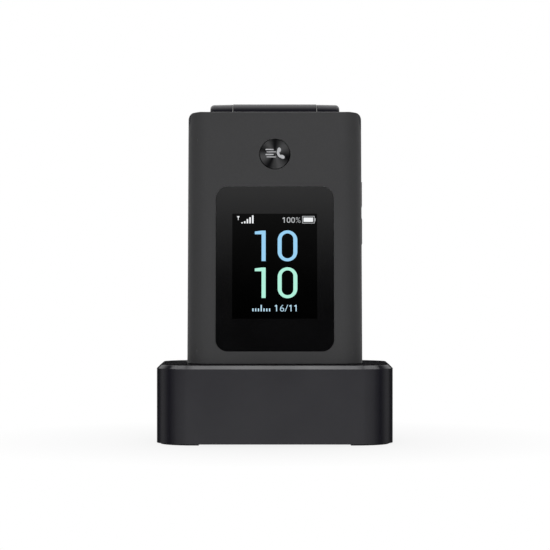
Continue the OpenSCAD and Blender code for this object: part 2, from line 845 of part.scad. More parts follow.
module side_key(x, z) docked() {
    translate([x * side_key_x, 0, nav_z + z * side_key_offset]) key(side_key_w, side_key_h);
}

// A round cap with a bevelled front edge
module round_cap(r, back) {
    rod(key_top + cap_bevel, back, r);
    translate([0, key_top + cap_bevel, 0]) rotate([90, 0, 0])
        cylinder(h = cap_bevel, r1 = r, r2 = r - cap_bevel);
}

// What is turned away from the navigation ring, so that its face slopes down to the OK key
module ring_dish() {
    dish = 0.3;
    translate([0, key_top + dish, 0]) rotate([90, 0, 0])
        cylinder(h = dish + bite, r1 = ok_d / 2 + key_clear,
            r2 = ok_d / 2 + key_clear + (ring_d - ok_d) / 2 * (dish + bite) / dish);
}

module navigation_ring() color(key_colour) docked() translate([0, 0, nav_z]) difference() {
    union() {
        round_cap(ring_d / 2, flange_y + bite);
        rod(flange_y, flange_y + flange_t, ring_d / 2 + key_clear);
        for (turn = [0:90:270]) rotate([0, turn, 0])
            translate([(ring_d + ok_d) / 4, 0, 0]) rod(flange_y, nub_end, ring_nub_r);
    }
    rod(0, past, ok_d / 2 + key_clear);
    ring_dish();
}

module ok_key() color(key_colour) docked() translate([0, 0, nav_z]) {
    round_cap(ok_d / 2, flange_y + flange_t);
    rod(flange_y, nub_end, nub_r);
}

// Metal domes on a thin sheet, one under each nub
module dome_sheet() color(steel_colour) docked() {
    sheet_low = first_row_z - key_h / 2;
    sheet_high = nav_z + side_key_offset + side_key_h / 2;
    sheet_w = 2 * column_pitch + key_w - 4;
    translate([0, 0, (sheet_low + sheet_high) / 2]) along_y(dome_y + dome_t, board_y - 0.01)
        round_rect(sheet_w, sheet_high - sheet_low, 1);
    for (column = columns, row = [0:3])
        translate([column, 0, first_row_z + row * row_pitch]) rod(dome_y, board_y - 0.02, 2.2);
    for (x = [-1, 1], z = [-1, 1])
        translate([x * side_key_x, 0, nav_z + z * side_key_offset]) rod(dome_y, board_y - 0.02, 2.2);
    for (turn = [0:90:270]) translate([0, 0, nav_z]) rotate([0, turn, 0])
        translate([(ring_d + ok_d) / 4, 0, 0]) rod(dome_y, board_y - 0.02, 1.6);
    translate([0, 0, nav_z]) rod(dome_y, board_y - 0.02, 2);
}

module main_board() color(board_colour) docked() {
    difference() {
        union() {
            between([-board_x, board_y, low_screw_z + 9], [board_x, board_back, high_screw_z - 3]);
            between([-narrow_board_x, board_y, board_z],
                [narrow_board_x, board_back, low_screw_z + 10]);
            between([-narrow_board_x, board_y, high_screw_z - 4],
                [narrow_board_x, board_back, room_top - 0.3]);
        }
        // The volume rocker's switch stands in this notch
        rocker_place() between([-4, -rocker_l / 2 - 0.5, -3], [past, rocker_l / 2 + 0.5, 3]);
    }
    // Shield cans between the board and the bay's floor
    can_t = battery_y - bay_floor_t - 0.1 - board_back - 0.1;
    can_x = battery_w / 2 - 1;
    for (side = [-1, 1]) mirror([side < 0 ? 1 : 0, 0, 0])
        between([2, board_back, battery_z + 24], [can_x, board_back + can_t, battery_z + battery_h - 8]);
    // Battery contacts, reaching through the bay's floor
    between([-5, board_back, battery_z + battery_h - 3], [5, battery_y - 0.15, battery_z + battery_h]);
    // Switches of the volume rocker
    rocker_place() for (end = [-1, 1])
        between([-4.3, end * 6 - 1.5, -1], [-3.4, end * 6 + 1.5, 1]);
}

module battery_cover() color(shell_colour) docked() {
    intersection() {
        phone_form();
        translate([0, 0, (cover_z + cover_top) / 2]) along_y(cover_y, past)
            round_rect(cover_w, cover_top - cover_z, 3);
    }
}

module battery() color(part_colour) docked() {
    translate([0, 0, battery_z + battery_h / 2]) along_y(battery_y, battery_y + battery_t)
        round_rect(battery_w, battery_h, 0.8);
}

module sim_socket() color(steel_colour) docked() difference() {
    sheet = 0.3;
    between([-sim_w / 2, board_back, sim_z], [sim_w / 2, battery_y - 0.15, sim_z + sim_l]);
    between([-sim_w / 2 + 0.8, board_back + sheet, sim_z - 1],
        [sim_w / 2 - 0.8, battery_y - 0.15 - sheet, sim_z + sim_l - 1]);
}

// The charging contacts' slots in the lower end
module charging_slots() {
    for (side = [-1, 1])
        between([side * contact_x - 1.3, contact_y - 2.1, -1],
            [side * contact_x + 1.3, contact_y + 2.1, 3]);
}

// The pads lie flush with the lower end
module charging_contacts() color(gold_colour) docked() {
    for (side = [-1, 1]) along_x(side * contact_x - 1.2, side * contact_x + 1.2) polygon([
        [contact_y - 2, 0], [contact_y + 2, 0],
        [contact_y + 2, phone_wall + 1], [board_y - seat, phone_wall + 1],
        [board_y - seat, phone_wall + 1 + pad_t], [contact_y + 2 - pad_t, phone_wall + 1 + pad_t],
        [contact_y + 2 - pad_t, pad_t], [contact_y - 2, pad_t]
    ]);
}

// The phone's USB-C socket, on the back of the board at the lower end
module usb_place() {
    translate([0, board_back + usb_h / 2 + 0.02, 0]) children();
}

module phone_usb_socket() color(steel_colour) docked() usb_place() {
    depth = 7.6;
    mouth_z = 0.4;
    difference() {
        translate([0, 0, mouth_z]) linear_extrude(height = depth - mouth_z)
            round_rect(usb_w, usb_h, usb_r);
        translate([0, 0, mouth_z - 1]) linear_extrude(height = depth - mouth_z + 0.2) usb_inside();
    }
    between([-usb_tongue_x, -usb_tongue_t, mouth_z + 0.6], [usb_tongue_x, usb_tongue_t, depth - 0.4]);
}

// The headset socket, on the front of the board at the lower end
module headset_place() {
    translate([headset_x, board_y - 2.85, 0]) children();
}

// The headset socket's round opening in the phone's lower end
module headset_hole() {
    headset_place() translate([0, 0, -past]) cylinder(h = past + 2, r = headset_r + 0.1);
}

module headset_socket() color(inner_colour) docked() headset_place() {
    half = 2.8;
    depth = 13;
    jack_r = 1.8;
    difference() {
        union() {
            between([-half, -half, phone_wall + seat], [half, half, depth]);
            translate([0, 0, 0.2]) cylinder(h = phone_wall + 1, r = headset_r);
        }
        translate([0, 0, -1]) cylinder(h = depth, r = jack_r);
    }
}

module loudspeaker() color(inner_colour) docked() {
    speaker_w = 17;
    speaker_h = 10;
    speaker_t = 3.3;
    translate([speaker_x, 0, camera_z])
        along_y(back_wall_y - 0.1 - speaker_t, back_wall_y - 0.1) round_rect(speaker_w, speaker_h, 3);
}

// The microphone, behind the chin's front wall
module microphone_place() {
    translate([microphone_x, 0, 6]) children();
}

module microphone() color(steel_colour) docked() microphone_place()
    rod(lid_room_y + 0.1, lid_room_y + 1.6, 2);

module vibration_motor() color(steel_colour) docked()
    translate([motor_x, 0, 11]) rod(back_wall_y - 2.8, back_wall_y - 0.1, 4);

module antenna() color(part_colour) docked()
    between([-board_x + 8, lid_room_y + 0.1, chin_l - phone_wall - 4],
        [6, lid_room_y + 3.2, chin_l - phone_wall - 0.1]);

module camera_module() color(inner_colour) docked() translate([camera_x, 0, camera_z]) {
    half = 4;
    between([-half, board_back + seat, -half], [half, back_wall_y - 0.3, half]);
    rod(back_wall_y - 0.4, base_t - camera_window_sink - 0.1, camera_r - 0.3);
}

module camera_window() color(glass_colour) docked() translate([camera_x, 0, camera_z])
    rod(base_t - camera_window_sink + seat, base_t - seat, camera_window_r);

module base_screws() color(steel_colour) docked() at_base_screws() {
    rod(half_seam + 1, back_wall_y, phone_screw_r);
    rod(back_wall_y - head_sink, back_wall_y + 0.2, phone_head_r);
}

// The volume rocker's middle, on the keypad half's right flank
module rocker_place() {
    translate([phone_w / 2, frame_back + rocker_w / 2 + 0.6, lid_top - rocker_drop])
        rotate([90, 0, 0]) children();
}

module volume_rocker() color(inner_colour) docked() rocker_place() {
    dip_r = 9;
    dip = 0.3;
    difference() {
        between([-1.7, -rocker_l / 2, -rocker_w / 2], [rocker_proud, rocker_l / 2, rocker_w / 2]);
        // The dip between both ends
        translate([rocker_proud + dip_r - dip, 0, 0]) cylinder(h = past, r = dip_r, center = true);
    }
    between([-2.6, -0.8, -rocker_w / 2], [-1.5, 0.8, rocker_w / 2]);
    for (end = [-1, 1]) between([-3, end * 6 - 0.8, -0.8], [-1.5, end * 6 + 0.8, 0.8]);
}

// ---------------------------------------------------------------- hinge

module hinge_cartridge() color(steel_colour) docked() {
    on_hinge(barrel_l / 2 - cartridge_l) cylinder(h = cartridge_l - 0.1, r = cartridge_r);
    on_hinge(barrel_l / 2 - 1) cylinder(h = pin_reach + 1, r = hinge_pin_r);
}

module hinge_pin() color(steel_colour) docked() {
    pin_l = 2 * pin_reach + 0.5;
    on_hinge(-barrel_l / 2 - pin_reach) difference() {
        cylinder(h = pin_l, r = hinge_pin_r);
        translate([0, 0, -1]) cylinder(h = pin_l + 2, r = hinge_pin_r - 1);
    }
}

// The flexible circuit, rolled up inside the middle barrel
module hinge_flex() color(gold_colour) docked() {
    flex_w = 4;
    flex_x = barrel_l / 2 - cartridge_l - 0.2 - flex_w;
    strip = 0.5;
    for (r = [3.1, 2.2]) on_hinge(flex_x) difference() {
        cylinder(h = flex_w, r = r);
        translate([0, 0, -1]) cylinder(h = flex_w + 2, r = r - strip);
    }
    // The strip's end joins both turns
    between([flex_x, -2.7, hinge_z - 0.15], [flex_x + flex_w, -2, hinge_z + 0.15]);
}

// ---------------------------------------------------------------- lid

module at_lid_screws() {
    for (side = [-1, 1], z = [lid_screw_low, lid_screw_high])
        translate([side * lid_screw_x, 0, z]) children();
}

module lid_outer_shell() color(shell_colour) docked() difference() {
    union() {
        difference() {
            intersection() {
                phone_form();
                above_slant(lid_z);
                union() {
                    between([-past, -past, lid_z], [past, lid_inner_y - seat / 2, lid_top]);
                    between([-past, -past, below_barrel], [past, -half_seam, lid_top]);
                }
            }
            intersection() {
                phone_form(phone_wall);
                above_slant(lid_z + phone_wall);
                between([-past, -past, lid_z], [past, 0, lid_room_top]);
            }
            knuckle_room();
        }
        on_hinge(-barrel_l / 2) cylinder(h = barrel_l, r = barrel_r);
        at_lid_screws() rod(lid_room_y - 0.5, lid_inner_y - 0.1, post_r + 0.1);
    }
    // Bores of the middle barrel: a bearing for the pin, and a room for flex and cartridge
    on_hinge(-barrel_l / 2 - 1) cylinder(h = pin_reach + 3, r = hinge_pin_r + running_clear);
    on_hinge(-barrel_l / 2 + pin_reach + 0.7) cylinder(h = barrel_l, r = cartridge_r + running_clear);
    at_lid_screws() rod(lid_room_y + 0.6, past, phone_bore_r);
    // Recess and opening of the outer window
    translate([0, 0, window_z + window_h / 2]) {
        along_y(-past, -lid_t + window_t + seat)
            round_rect(window_w + 0.3, window_h + 0.3, window_r + 0.15);
        along_y(-past, lid_room_y + 1) round_rect(window_w - 3, window_h - 3, window_r - 1.5);
    }
    translate([0, 0, call_z]) rod(-past, lid_room_y + 0.5, call_d / 2 + 0.15);
}

module lid_inner_shell() color(inner_colour) docked() difference() {
    intersection() {
        phone_form();
        above_slant(lid_z);
        between([-past, lid_inner_y, lid_z], [past, -half_seam, below_barrel - 0.1]);
    }
    inner_window_place() {
        along_y(-half_seam - 0.9, past) round_rect(inner_window_w + 0.3, inner_window_h + 0.3, 2.15);
        along_y(-past, past) round_rect(inner_window_w - 3, inner_window_h - 3, 1);
    }
    // Sound slot of the earpiece
    translate([0, 0, earpiece_z]) along_y(-past, past) round_rect(10, 1.4, 0.69);
    at_lid_screws() {
        rod(-past, past, phone_hole_r);
        rod(-half_seam - bumper_room, past, bumper_r + 0.1);
    }
}

bumper_r = 1.8;
bumper_room = 1.1;
bumper_t = 0.6;

module inner_window_place() {
    translate([0, 0, inner_window_z + inner_window_h / 2]) children();
}

module outer_window() color(glass_colour) docked() translate([0, 0, window_z + window_h / 2])
    along_y(-lid_t, -lid_t + window_t) round_rect(window_w, window_h, window_r);

module outer_display() color(glass_colour) docked() translate([0, 0, window_z + window_h / 2 + 1.5])
    along_y(-lid_t + window_t + 0.1, lid_board_y - lid_board_t - 0.1)
        square([window_w - 7.6, window_h - 12.4], center = true);

module inner_window() color(glass_colour) docked() inner_window_place()
    along_y(-half_seam - 0.85, -half_seam - 0.05) round_rect(inner_window_w, inner_window_h, 2);

module inner_display() color(glass_colour) docked() inner_window_place()
    along_y(lid_board_y + 0.05, lid_inner_y - 0.1)
        square([inner_window_w - 2.4, inner_window_h - 2], center = true);

module lid_board() color(board_colour) docked() {
    board_half = inner_window_w / 2 - 4.5;
    between([-board_half, lid_board_y - lid_board_t, inner_window_z + 4],
        [board_half, lid_board_y, lid_room_top - 0.3]);
    // Switch of the quick-call key
    translate([0, 0, call_z]) rod(lid_board_y - lid_board_t - 0.2, lid_board_y, 2);
}

module earpiece() color(inner_colour) docked() translate([0, 0, earpiece_z])
    along_y(lid_board_y + 0.05, lid_inner_y - 0.1) round_rect(13, 5.6, 2);

// A turned disc: a bevelled rim round a slightly sunk face
module quick_call_key() color(inner_colour) docked() translate([0, 0, call_z]) {
    rim_bevel = 0.2;
    difference() {
        union() {
            rod(call_front + rim_bevel, lid_room_y + 0.3, call_d / 2);
            translate([0, call_front + rim_bevel, 0]) rotate([90, 0, 0])
                cylinder(h = rim_bevel, r1 = call_d / 2, r2 = call_d / 2 - rim_bevel);
        }
        rod(-past, call_front + 0.12, call_d / 2 - rim_bevel - 0.25);
    }
    rod(lid_room_y + 0.15, lid_room_y + 0.75, call_d / 2 + 0.6);
    rod(lid_room_y + 0.15, lid_board_y - lid_board_t - 0.6, 1.5);
}

module lid_screws() color(steel_colour) docked() at_lid_screws() {
    rod(lid_room_y + 0.8, -half_seam - bumper_room + seat, phone_screw_r);
    rod(-half_seam - bumper_room + seat, -half_seam - bumper_t - seat, phone_head_r + 0.1);
}

module lid_bumpers() color(rubber_colour) docked() at_lid_screws()
    rod(-half_seam - bumper_t, -half_seam + 0.05, bumper_r);

cradle_housing();
cradle_base_plate();
cradle_feet();
cradle_weights();
cradle_board();
cradle_usb_socket();
cradle_contact_block();
contact_pin(-1);  // contact_pin_left
contact_pin(1);  // contact_pin_right
cradle_screws();
base_housing();
keypad_frame();
battery_cover();
battery();
main_board();
dome_sheet();
charging_contacts();
phone_usb_socket();
headset_socket();
loudspeaker();
microphone();
vibration_motor();
antenna();
camera_module();
camera_window();
sim_socket();
base_screws();
volume_rocker();
hinge_cartridge();
hinge_pin();
hinge_flex();
number_key(0, 3);  // key_1
number_key(1, 3);  // key_2
number_key(2, 3);  // key_3
number_key(0, 2);  // key_4
number_key(1, 2);  // key_5
number_key(2, 2);  // key_6
number_key(0, 1);  // key_7
number_key(1, 1);  // key_8
number_key(2, 1);  // key_9
number_key(0, 0);  // key_star
number_key(1, 0);  // key_0
number_key(2, 0);  // key_hash
side_key(-1, -1);  // call_key
side_key(1, -1);  // end_key
side_key(-1, 1);  // soft_key_left
side_key(1, 1);  // soft_key_right
navigation_ring();
ok_key();
lid_outer_shell();
lid_inner_shell();
outer_window();
outer_display();
inner_window();
inner_display();
lid_board();
earpiece();
quick_call_key();
lid_screws();
lid_bumpers();
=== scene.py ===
"""The dressed flip phone in its charging cradle: finishes, screens, signs, stage and camera."""
import logging
import math
from dataclasses import dataclass
from enum import Enum
from typing import Any, Callable, Sequence

import bpy
from mathutils import Matrix, Vector


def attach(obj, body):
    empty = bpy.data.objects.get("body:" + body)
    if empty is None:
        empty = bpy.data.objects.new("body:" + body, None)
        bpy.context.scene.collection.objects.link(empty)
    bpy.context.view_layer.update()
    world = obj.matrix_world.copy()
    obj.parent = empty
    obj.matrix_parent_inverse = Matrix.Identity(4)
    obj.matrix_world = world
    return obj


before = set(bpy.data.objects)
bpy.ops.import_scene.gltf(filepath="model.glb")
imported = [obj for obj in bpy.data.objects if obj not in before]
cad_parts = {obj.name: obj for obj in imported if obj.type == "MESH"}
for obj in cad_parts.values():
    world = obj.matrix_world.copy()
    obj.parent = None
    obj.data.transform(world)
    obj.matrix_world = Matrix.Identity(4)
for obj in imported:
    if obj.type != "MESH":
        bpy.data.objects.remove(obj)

LOG = logging.getLogger("flip_phone")
MM = 0.001
# Places closer than this, in millimetres, count as the same
HAIR = 1e-4
# Noise lies mostly between these two values
NOISE_SPAN = {"From Min": 0.3, "From Max": 0.7}
WHITE = (1.0, 1.0, 1.0, 1.0)
ORIGIN = (0.0, 0.0, 0.0)

Piece = bpy.types.Object
Tree = bpy.types.NodeTree
Node = bpy.types.Node
Socket = bpy.types.NodeSocket
Pair = tuple[float, float]
Triple = tuple[float, float, float]


# ------------------------------------------------------------------ the docked phone's place


class Facing(Enum):
    """Which way a flat sign on the phone looks, in the closed phone's own frame."""

    FRONT = 90.0
    INSIDE_OF_LID = -90.0


@dataclass(frozen=True)
class Docking:
    """How the docked phone stands in its cradle, by the sizes that place it there.

    Lengths are in millimetres. The lid's foot is the lower front edge of the lid: lid_foot_z up the
    phone, and set back from the cradle's front. The phone's lower end stands at the height z.
    """

    lean: float = math.radians(8.0)
    cradle_d: float = 50.0
    setback: float = 7.6
    lid_t: float = 8.8
    lid_foot_z: float = 16.3
    z: float = 8.6
    hinge_z: float = 98.3

    def place(self) -> Matrix:
        """Give the matrix from the upright phone's millimetres to the scene's metres.

        Returns:
            The matrix.
        """
        lid_foot_y = self.setback - self.cradle_d / 2
        y = lid_foot_y + self.lid_t * math.cos(self.lean) - self.lid_foot_z * math.sin(self.lean)
        return (Matrix.Scale(MM, 4) @ Matrix.Translation((0.0, y, self.z))
                @ Matrix.Rotation(-self.lean, 4, "X"))

    def point(self, x: float, y: float, z: float) -> Vector:
        """Give the scene's place of a point on the upright phone, given in millimetres."""
        return self.place() @ Vector((x, y, z))

    def sign_place(self, x: float, depth: float, z: float, facing: Facing = Facing.FRONT) -> Matrix:
        """Give the matrix that stands a flat sign on the phone.

        Args:
            x: Where the sign's origin is along X, in millimetres.
            depth: The Y of the surface that carries it.
            z: Its height along the phone.
            facing: Which way it looks.

        Returns:
            The matrix from the sign's flat millimetres to the scene's metres.
        """
        return (self.place() @ Matrix.Translation((x, depth, z))
                @ Matrix.Rotation(math.radians(facing.value), 4, "X"))


DOCK = Docking()


# ------------------------------------------------------------------ small helpers


def linear(colour: str) -> tuple[float, float, float, float]:
    """Turn an sRGB hex colour into linear light.

    Args:
        colour: The colour, written as "#rrggbb".

    Returns:
        Red, green, blue and an alpha of 1.
    """
    parts = [int(colour[i:i + 2], 16) / 255 for i in (1, 3, 5)]
    red, green, blue = (p / 12.92 if p <= 0.04045 else ((p + 0.055) / 1.055) ** 2.4 for p in parts)
    return red, green, blue, 1.0


def per_metre(size_mm: float) -> float:
    """Give the texture scale at which a pattern repeats about every size_mm millimetres."""
    return 1.0 / (size_mm * MM)


def add_node(tree: Tree, kind: str, inputs: dict[Any, Any] | None = None, **settings: Any) -> Node:
    """Add a node with its settings, its inputs' values and its incoming links.

    Args:
        tree: The node tree that gets the node.
        kind: The node's type name after "ShaderNode".
        inputs: For each input, by name or number, its value or what feeds it: an output socket,
            or a node, whose first output is taken.
        **settings: The node's own settings.

    Returns:
        The new node.
    """
    made = tree.nodes.new(f"ShaderNode{kind}")
    for name, value in settings.items():
        setattr(made, name, value)
    for name, source in (inputs or {}).items():
        if isinstance(source, Node):
            source = source.outputs[0]
        if isinstance(source, Socket):
            tree.links.new(source, made.inputs[name])
        else:
            made.inputs[name].default_value = source
    return made


def set_stops(ramp: bpy.types.ColorRamp, stops: Sequence[Pair]) -> None:
    """Give a colour ramp grey stops.

    Args:
        ramp: The ramp.
        stops: Place and brightness of each stop, in rising order.
    """
    while len(ramp.elements) < len(stops):
        ramp.elements.new(1.0)
    for element, (place, level) in zip(ramp.elements, stops):
        element.position = place
        element.color = (level, level, level, 1.0)


# ------------------------------------------------------------------ finishes


class Finish:
    """A finish that makes its material once and then hands out the same one."""

    name: str

    def shader(self, tree: Tree, place: Socket) -> Node:
        """Add the finish's own nodes, which read their place from a socket, and give its shader."""
        raise NotImplementedError

    def material(self) -> bpy.types.Material:
        """Give the finish's material, and make it the first time.

        Returns:
            The material.
        """
        made = bpy.data.materials.get(self.name)
        if made is None:
            made = bpy.data.materials.new(self.name)
            made.use_nodes = True
            tree = made.node_tree
            tree.nodes.clear()
            place = add_node(tree, "TexCoord").outputs["Object"]
            add_node(tree, "OutputMaterial", {"Surface": self.shader(tree, place)})
        return made


@dataclass(frozen=True)
class Plastic(Finish):
    """A moulded or coated plastic with grain, mottled gloss and softly burnished edges.

    Real grain is too fine to show, so each grain is drawn as coarse as it needs. An edge lightens as
    the cosine between its rounded and its flat normal falls from the first to the second of edge_bend.
    """

    name: str
    colour: str
    roughness: float
    grain_mm: float = 0.5
    grain_shade: float = 0.05
    grain_depth: float = 0.010
    gloss_drift: float = 0.05
    drift_mm: float = 14.0
    bump: float = 0.5
    edge_mm: float = 0.18
    edge_bend: Pair = (0.995, 0.85)
    edge_lift: float = 0.25
    ior: float = 1.49
    sheen: float = 0.0
    sheen_roughness: float = 0.45

    def layers(self, tree: Tree, place: Socket) -> tuple[Node, Node, Node]:
        """Lay grain, mottled gloss and an edge mask.

        Args:
            tree: The node tree that gets them.
            place: The socket that they read their place from.

        Returns:
            The nodes that give the colour, the roughness and the normal.
        """
        grain = add_node(tree, "TexNoise", {"Vector": place, "Scale": per_metre(self.grain_mm),
                                            "Detail": 2.0})
        drift = add_node(tree, "TexNoise", {"Vector": place, "Scale": per_metre(self.drift_mm),
                                            "Detail": 3.0})
        soft = add_node(tree, "Bevel", {"Radius": self.edge_mm * MM}, samples=4)
        sharp = add_node(tree, "NewGeometry").outputs["Normal"]
        bend = add_node(tree, "VectorMath", {0: soft, 1: sharp}, operation="DOT_PRODUCT").outputs["Value"]
        edge = add_node(tree, "MapRange", {"Value": bend, "From Min": self.edge_bend[0],
                                           "From Max": self.edge_bend[1], "To Max": self.edge_lift})
        shade = add_node(tree, "MapRange", {"Value": grain, **NOISE_SPAN, "To Min": 1 - self.grain_shade,
                                            "To Max": 1 + self.grain_shade})
        lift = add_node(tree, "Math", {0: shade, 1: edge}, operation="ADD")
        colour = add_node(tree, "VectorMath", {0: linear(self.colour)[:3], "Scale": lift}, operation="SCALE")
        rough = add_node(tree, "MapRange", {"Value": drift, **NOISE_SPAN,
                                            "To Min": self.roughness - self.gloss_drift,
                                            "To Max": self.roughness + self.gloss_drift})
        bump = add_node(tree, "Bump", {"Strength": self.bump, "Distance": self.grain_depth * MM,
                                       "Height": grain, "Normal": soft})
        return colour, rough, bump

    def gloss(self) -> dict[str, float]:
        """Give the shader's inputs that make the plastic's gloss and sheen."""
        return {"IOR": self.ior, "Sheen Weight": self.sheen, "Sheen Roughness": self.sheen_roughness}

    def shader(self, tree: Tree, place: Socket) -> Node:
        """Add the plastic's layers and its gloss.

        Args:
            tree: The node tree that gets them.
            place: The socket that they read their place from.

        Returns:
            The shader.
        """
        colour, rough, normal = self.layers(tree, place)
        return add_node(tree, "BsdfPrincipled", {"Base Color": colour, "Roughness": rough,
                                                 "Normal": normal, **self.gloss()})


@dataclass(frozen=True)
class PartCoated(Finish):
    """A moulding whose coat stops at the round barrels on an axis, where the bare plastic shows."""

    name: str
    coat: Plastic
    bare: Plastic
    axis: Vector
    reach: float
    fade: float = 0.05 * MM

    def shader(self, tree: Tree, place: Socket) -> Node:
        """Add both plastics and blend them by the distance to the barrels' axis.

        Args:
            tree: The node tree that gets them.
            place: The socket that they read their place from.

        Returns:
            The shader.
        """
        offset = add_node(tree, "VectorMath", {0: place, 1: self.axis}, operation="SUBTRACT")
        across = add_node(tree, "VectorMath", {0: offset, 1: (0.0, 1.0, 1.0)}, operation="MULTIPLY")
        radius = add_node(tree, "VectorMath", {0: across}, operation="LENGTH").outputs["Value"]
        outside = add_node(tree, "MapRange", {"Value": radius, "From Min": self.reach,
                                              "From Max": self.reach + self.fade})
        coat, bare = self.coat.layers(tree, place), self.bare.layers(tree, place)
        colour = add_node(tree, "Mix", {0: outside, 6: bare[0], 7: coat[0]}, data_type="RGBA").outputs[2]
        rough = add_node(tree, "Mix", {0: outside, 2: bare[1], 3: coat[1]}, data_type="FLOAT").outputs[0]
        normal = add_node(tree, "Mix", {0: outside, 4: bare[2], 5: coat[2]}, data_type="VECTOR").outputs[1]
        return add_node(tree, "BsdfPrincipled", {"Base Color": colour, "Roughness": rough,
                                                 "Normal": normal, **self.coat.gloss()})


@dataclass(frozen=True)
class Metal(Finish):
    """A metal with a fine rolled or drawn grain along one axis, and cloudy tarnish.

    Real grain is too fine to show, so it is drawn as coarse as it needs.
    """

    name: str
    colour: str
    roughness: float
    grain_mm: float = 0.12
    grain_depth: float = 0.004
    grain_gloss: Pair = (0.8, 1.25)
    bump: float = 0.3
    stretch: Triple = (1.0, 1.0, 8.0)
    tarnish: float = 0.12
    cloud_mm: float = 3.0

    def shader(self, tree: Tree, place: Socket) -> Node:
        """Add stretched grain and tarnish.

        Args:
            tree: The node tree that gets them.
            place: The socket that they read their place from.

        Returns:
            The shader.
        """
        along = add_node(tree, "Mapping", {"Vector": place, "Scale": [1 / s for s in self.stretch]})
        grain = add_node(tree, "TexNoise", {"Vector": along, "Scale": per_metre(self.grain_mm),
                                            "Detail": 2.0})
        cloud = add_node(tree, "TexNoise", {"Vector": place, "Scale": per_metre(self.cloud_mm),
                                            "Detail": 4.0})
        shade = add_node(tree, "MapRange", {"Value": cloud, **NOISE_SPAN, "To Min": 1 - self.tarnish,
                                            "To Max": 1.0})
        colour = add_node(tree, "VectorMath", {0: linear(self.colour)[:3], "Scale": shade}, operation="SCALE")
        rough = add_node(tree, "MapRange", {"Value": grain, **NOISE_SPAN,
                                            "To Min": self.roughness * self.grain_gloss[0],
                                            "To Max": self.roughness * self.grain_gloss[1]})
        bump = add_node(tree, "Bump", {"Strength": self.bump, "Distance": self.grain_depth * MM,
                                       "Height": grain})
        return add_node(tree, "BsdfPrincipled", {"Metallic": 1.0, "Base Color": colour, "Roughness": rough,
                                                 "Normal": bump})


@dataclass(frozen=True)
class SpunMetal(Finish):
    """A dark disc faced on a lathe: fine rings, and light and dark wedges that meet in its middle.

    Its centre is in the scene's metres, and its axis leans with the phone. Its light and dark wedges are a
    painted reflection, painted highlights and painted shade such as a lathe-faced disc shows in light; they
    run clockwise as shares of one turn, with twelve o'clock at 0.5. Real tool marks are finer than its rings,
    which are drawn as coarse as they need to show.
    """

    name: str
    dark: str
    light: str
    centre: Vector
    ring_mm: float = 0.34
    ring_depth: float = 0.01
    bump: float = 0.25
    roughness: float = 0.34
    ripple: float = 0.06
    painted_glint_wedges: tuple[Pair, ...] = ((0.0, 0.6), (0.075, 0.02), (0.215, 1.0), (0.305, 0.12), (0.405, 0.8),
                                (0.50, 0.03), (0.64, 0.9), (0.795, 0.0), (0.95, 0.95), (1.0, 0.6))

    def shader(self, tree: Tree, place: Socket) -> Node:
        """Add rings and wedges round the disc's own axis.

        Args:
            tree: The node tree that gets them.
            place: The socket that they read their place from.

        Returns:
            The shader.
        """
        centred = add_node(tree, "VectorMath", {0: place, 1: self.centre}, operation="SUBTRACT")
        upright = add_node(tree, "VectorRotate", {"Vector": centred, "Axis": (1.0, 0.0, 0.0),
                                                  "Angle": DOCK.lean}, rotation_type="AXIS_ANGLE")
        across, _, up = add_node(tree, "SeparateXYZ", {0: upright}).outputs
        flat = add_node(tree, "CombineXYZ", {0: across, 1: up})
        radius = add_node(tree, "VectorMath", {0: flat}, operation="LENGTH").outputs["Value"]
        rings = add_node(tree, "Math", {0: radius, 1: 2 * math.pi * per_metre(self.ring_mm)},
                         operation="MULTIPLY")
        wave = add_node(tree, "Math", {0: rings}, operation="SINE")
        # The fan of wedges round the axis is a painted reflection: painted highlights and painted shade in
        # the base colour
        turn = add_node(tree, "Math", {0: across, 1: up}, operation="ARCTAN2")
        share = add_node(tree, "MapRange", {"Value": turn, "From Min": -math.pi, "From Max": math.pi})
        painted_glint_fan = add_node(tree, "ValToRGB", {"Fac": share})
        painted_glint_fan.color_ramp.interpolation = "EASE"
        set_stops(painted_glint_fan.color_ramp, self.painted_glint_wedges)
        colour = add_node(tree, "Mix", {0: painted_glint_fan, 6: linear(self.dark), 7: linear(self.light)},
                          data_type="RGBA").outputs[2]
        rough = add_node(tree, "MapRange", {"Value": wave, "From Min": -1.0, "From Max": 1.0,
                                            "To Min": self.roughness - self.ripple,
                                            "To Max": self.roughness + self.ripple})
        bump = add_node(tree, "Bump", {"Strength": self.bump, "Distance": self.ring_depth * MM,
                                       "Height": wave})
        return add_node(tree, "BsdfPrincipled", {"Metallic": 1.0, "Base Color": colour, "Roughness": rough,
                                                 "Normal": bump})


@dataclass(frozen=True)
class BackedGlass(Finish):
    """Polished cover glass with black ink on its back and faint smears on its face."""

    name: str
    colour: str
    roughness: float = 0.03
    specular: float = 0.5
    ior: float = 1.5
    smear_mm: float = 11.0
    smear_span: Pair = (0.35, 0.75)
    smear_gloss: float = 0.04
    smear_tint: float = 0.1

    def shader(self, tree: Tree, place: Socket) -> Node:
        """Add a black body, a polished face and smears.

        Args:
            tree: The node tree that gets them.
            place: The socket that they read their place from.

        Returns:
            The shader.
        """
        smear = add_node(tree, "TexNoise", {"Vector": place, "Scale": per_metre(self.smear_mm),
                                            "Detail": 3.0})
        rough = add_node(tree, "MapRange", {"Value": smear, "From Min": self.smear_span[0],
                                            "From Max": self.smear_span[1], "To Min": self.roughness,
                                            "To Max": self.roughness + self.smear_gloss})
        tint = add_node(tree, "MapRange", {"Value": smear, **NOISE_SPAN, "To Min": 1 - self.smear_tint,
                                           "To Max": 1 + self.smear_tint})
        colour = add_node(tree, "VectorMath", {0: linear(self.colour)[:3], "Scale": tint}, operation="SCALE")
        return add_node(tree, "BsdfPrincipled", {"Base Color": colour, "Roughness": rough, "IOR": self.ior,
                                                 "Specular IOR Level": self.specular})


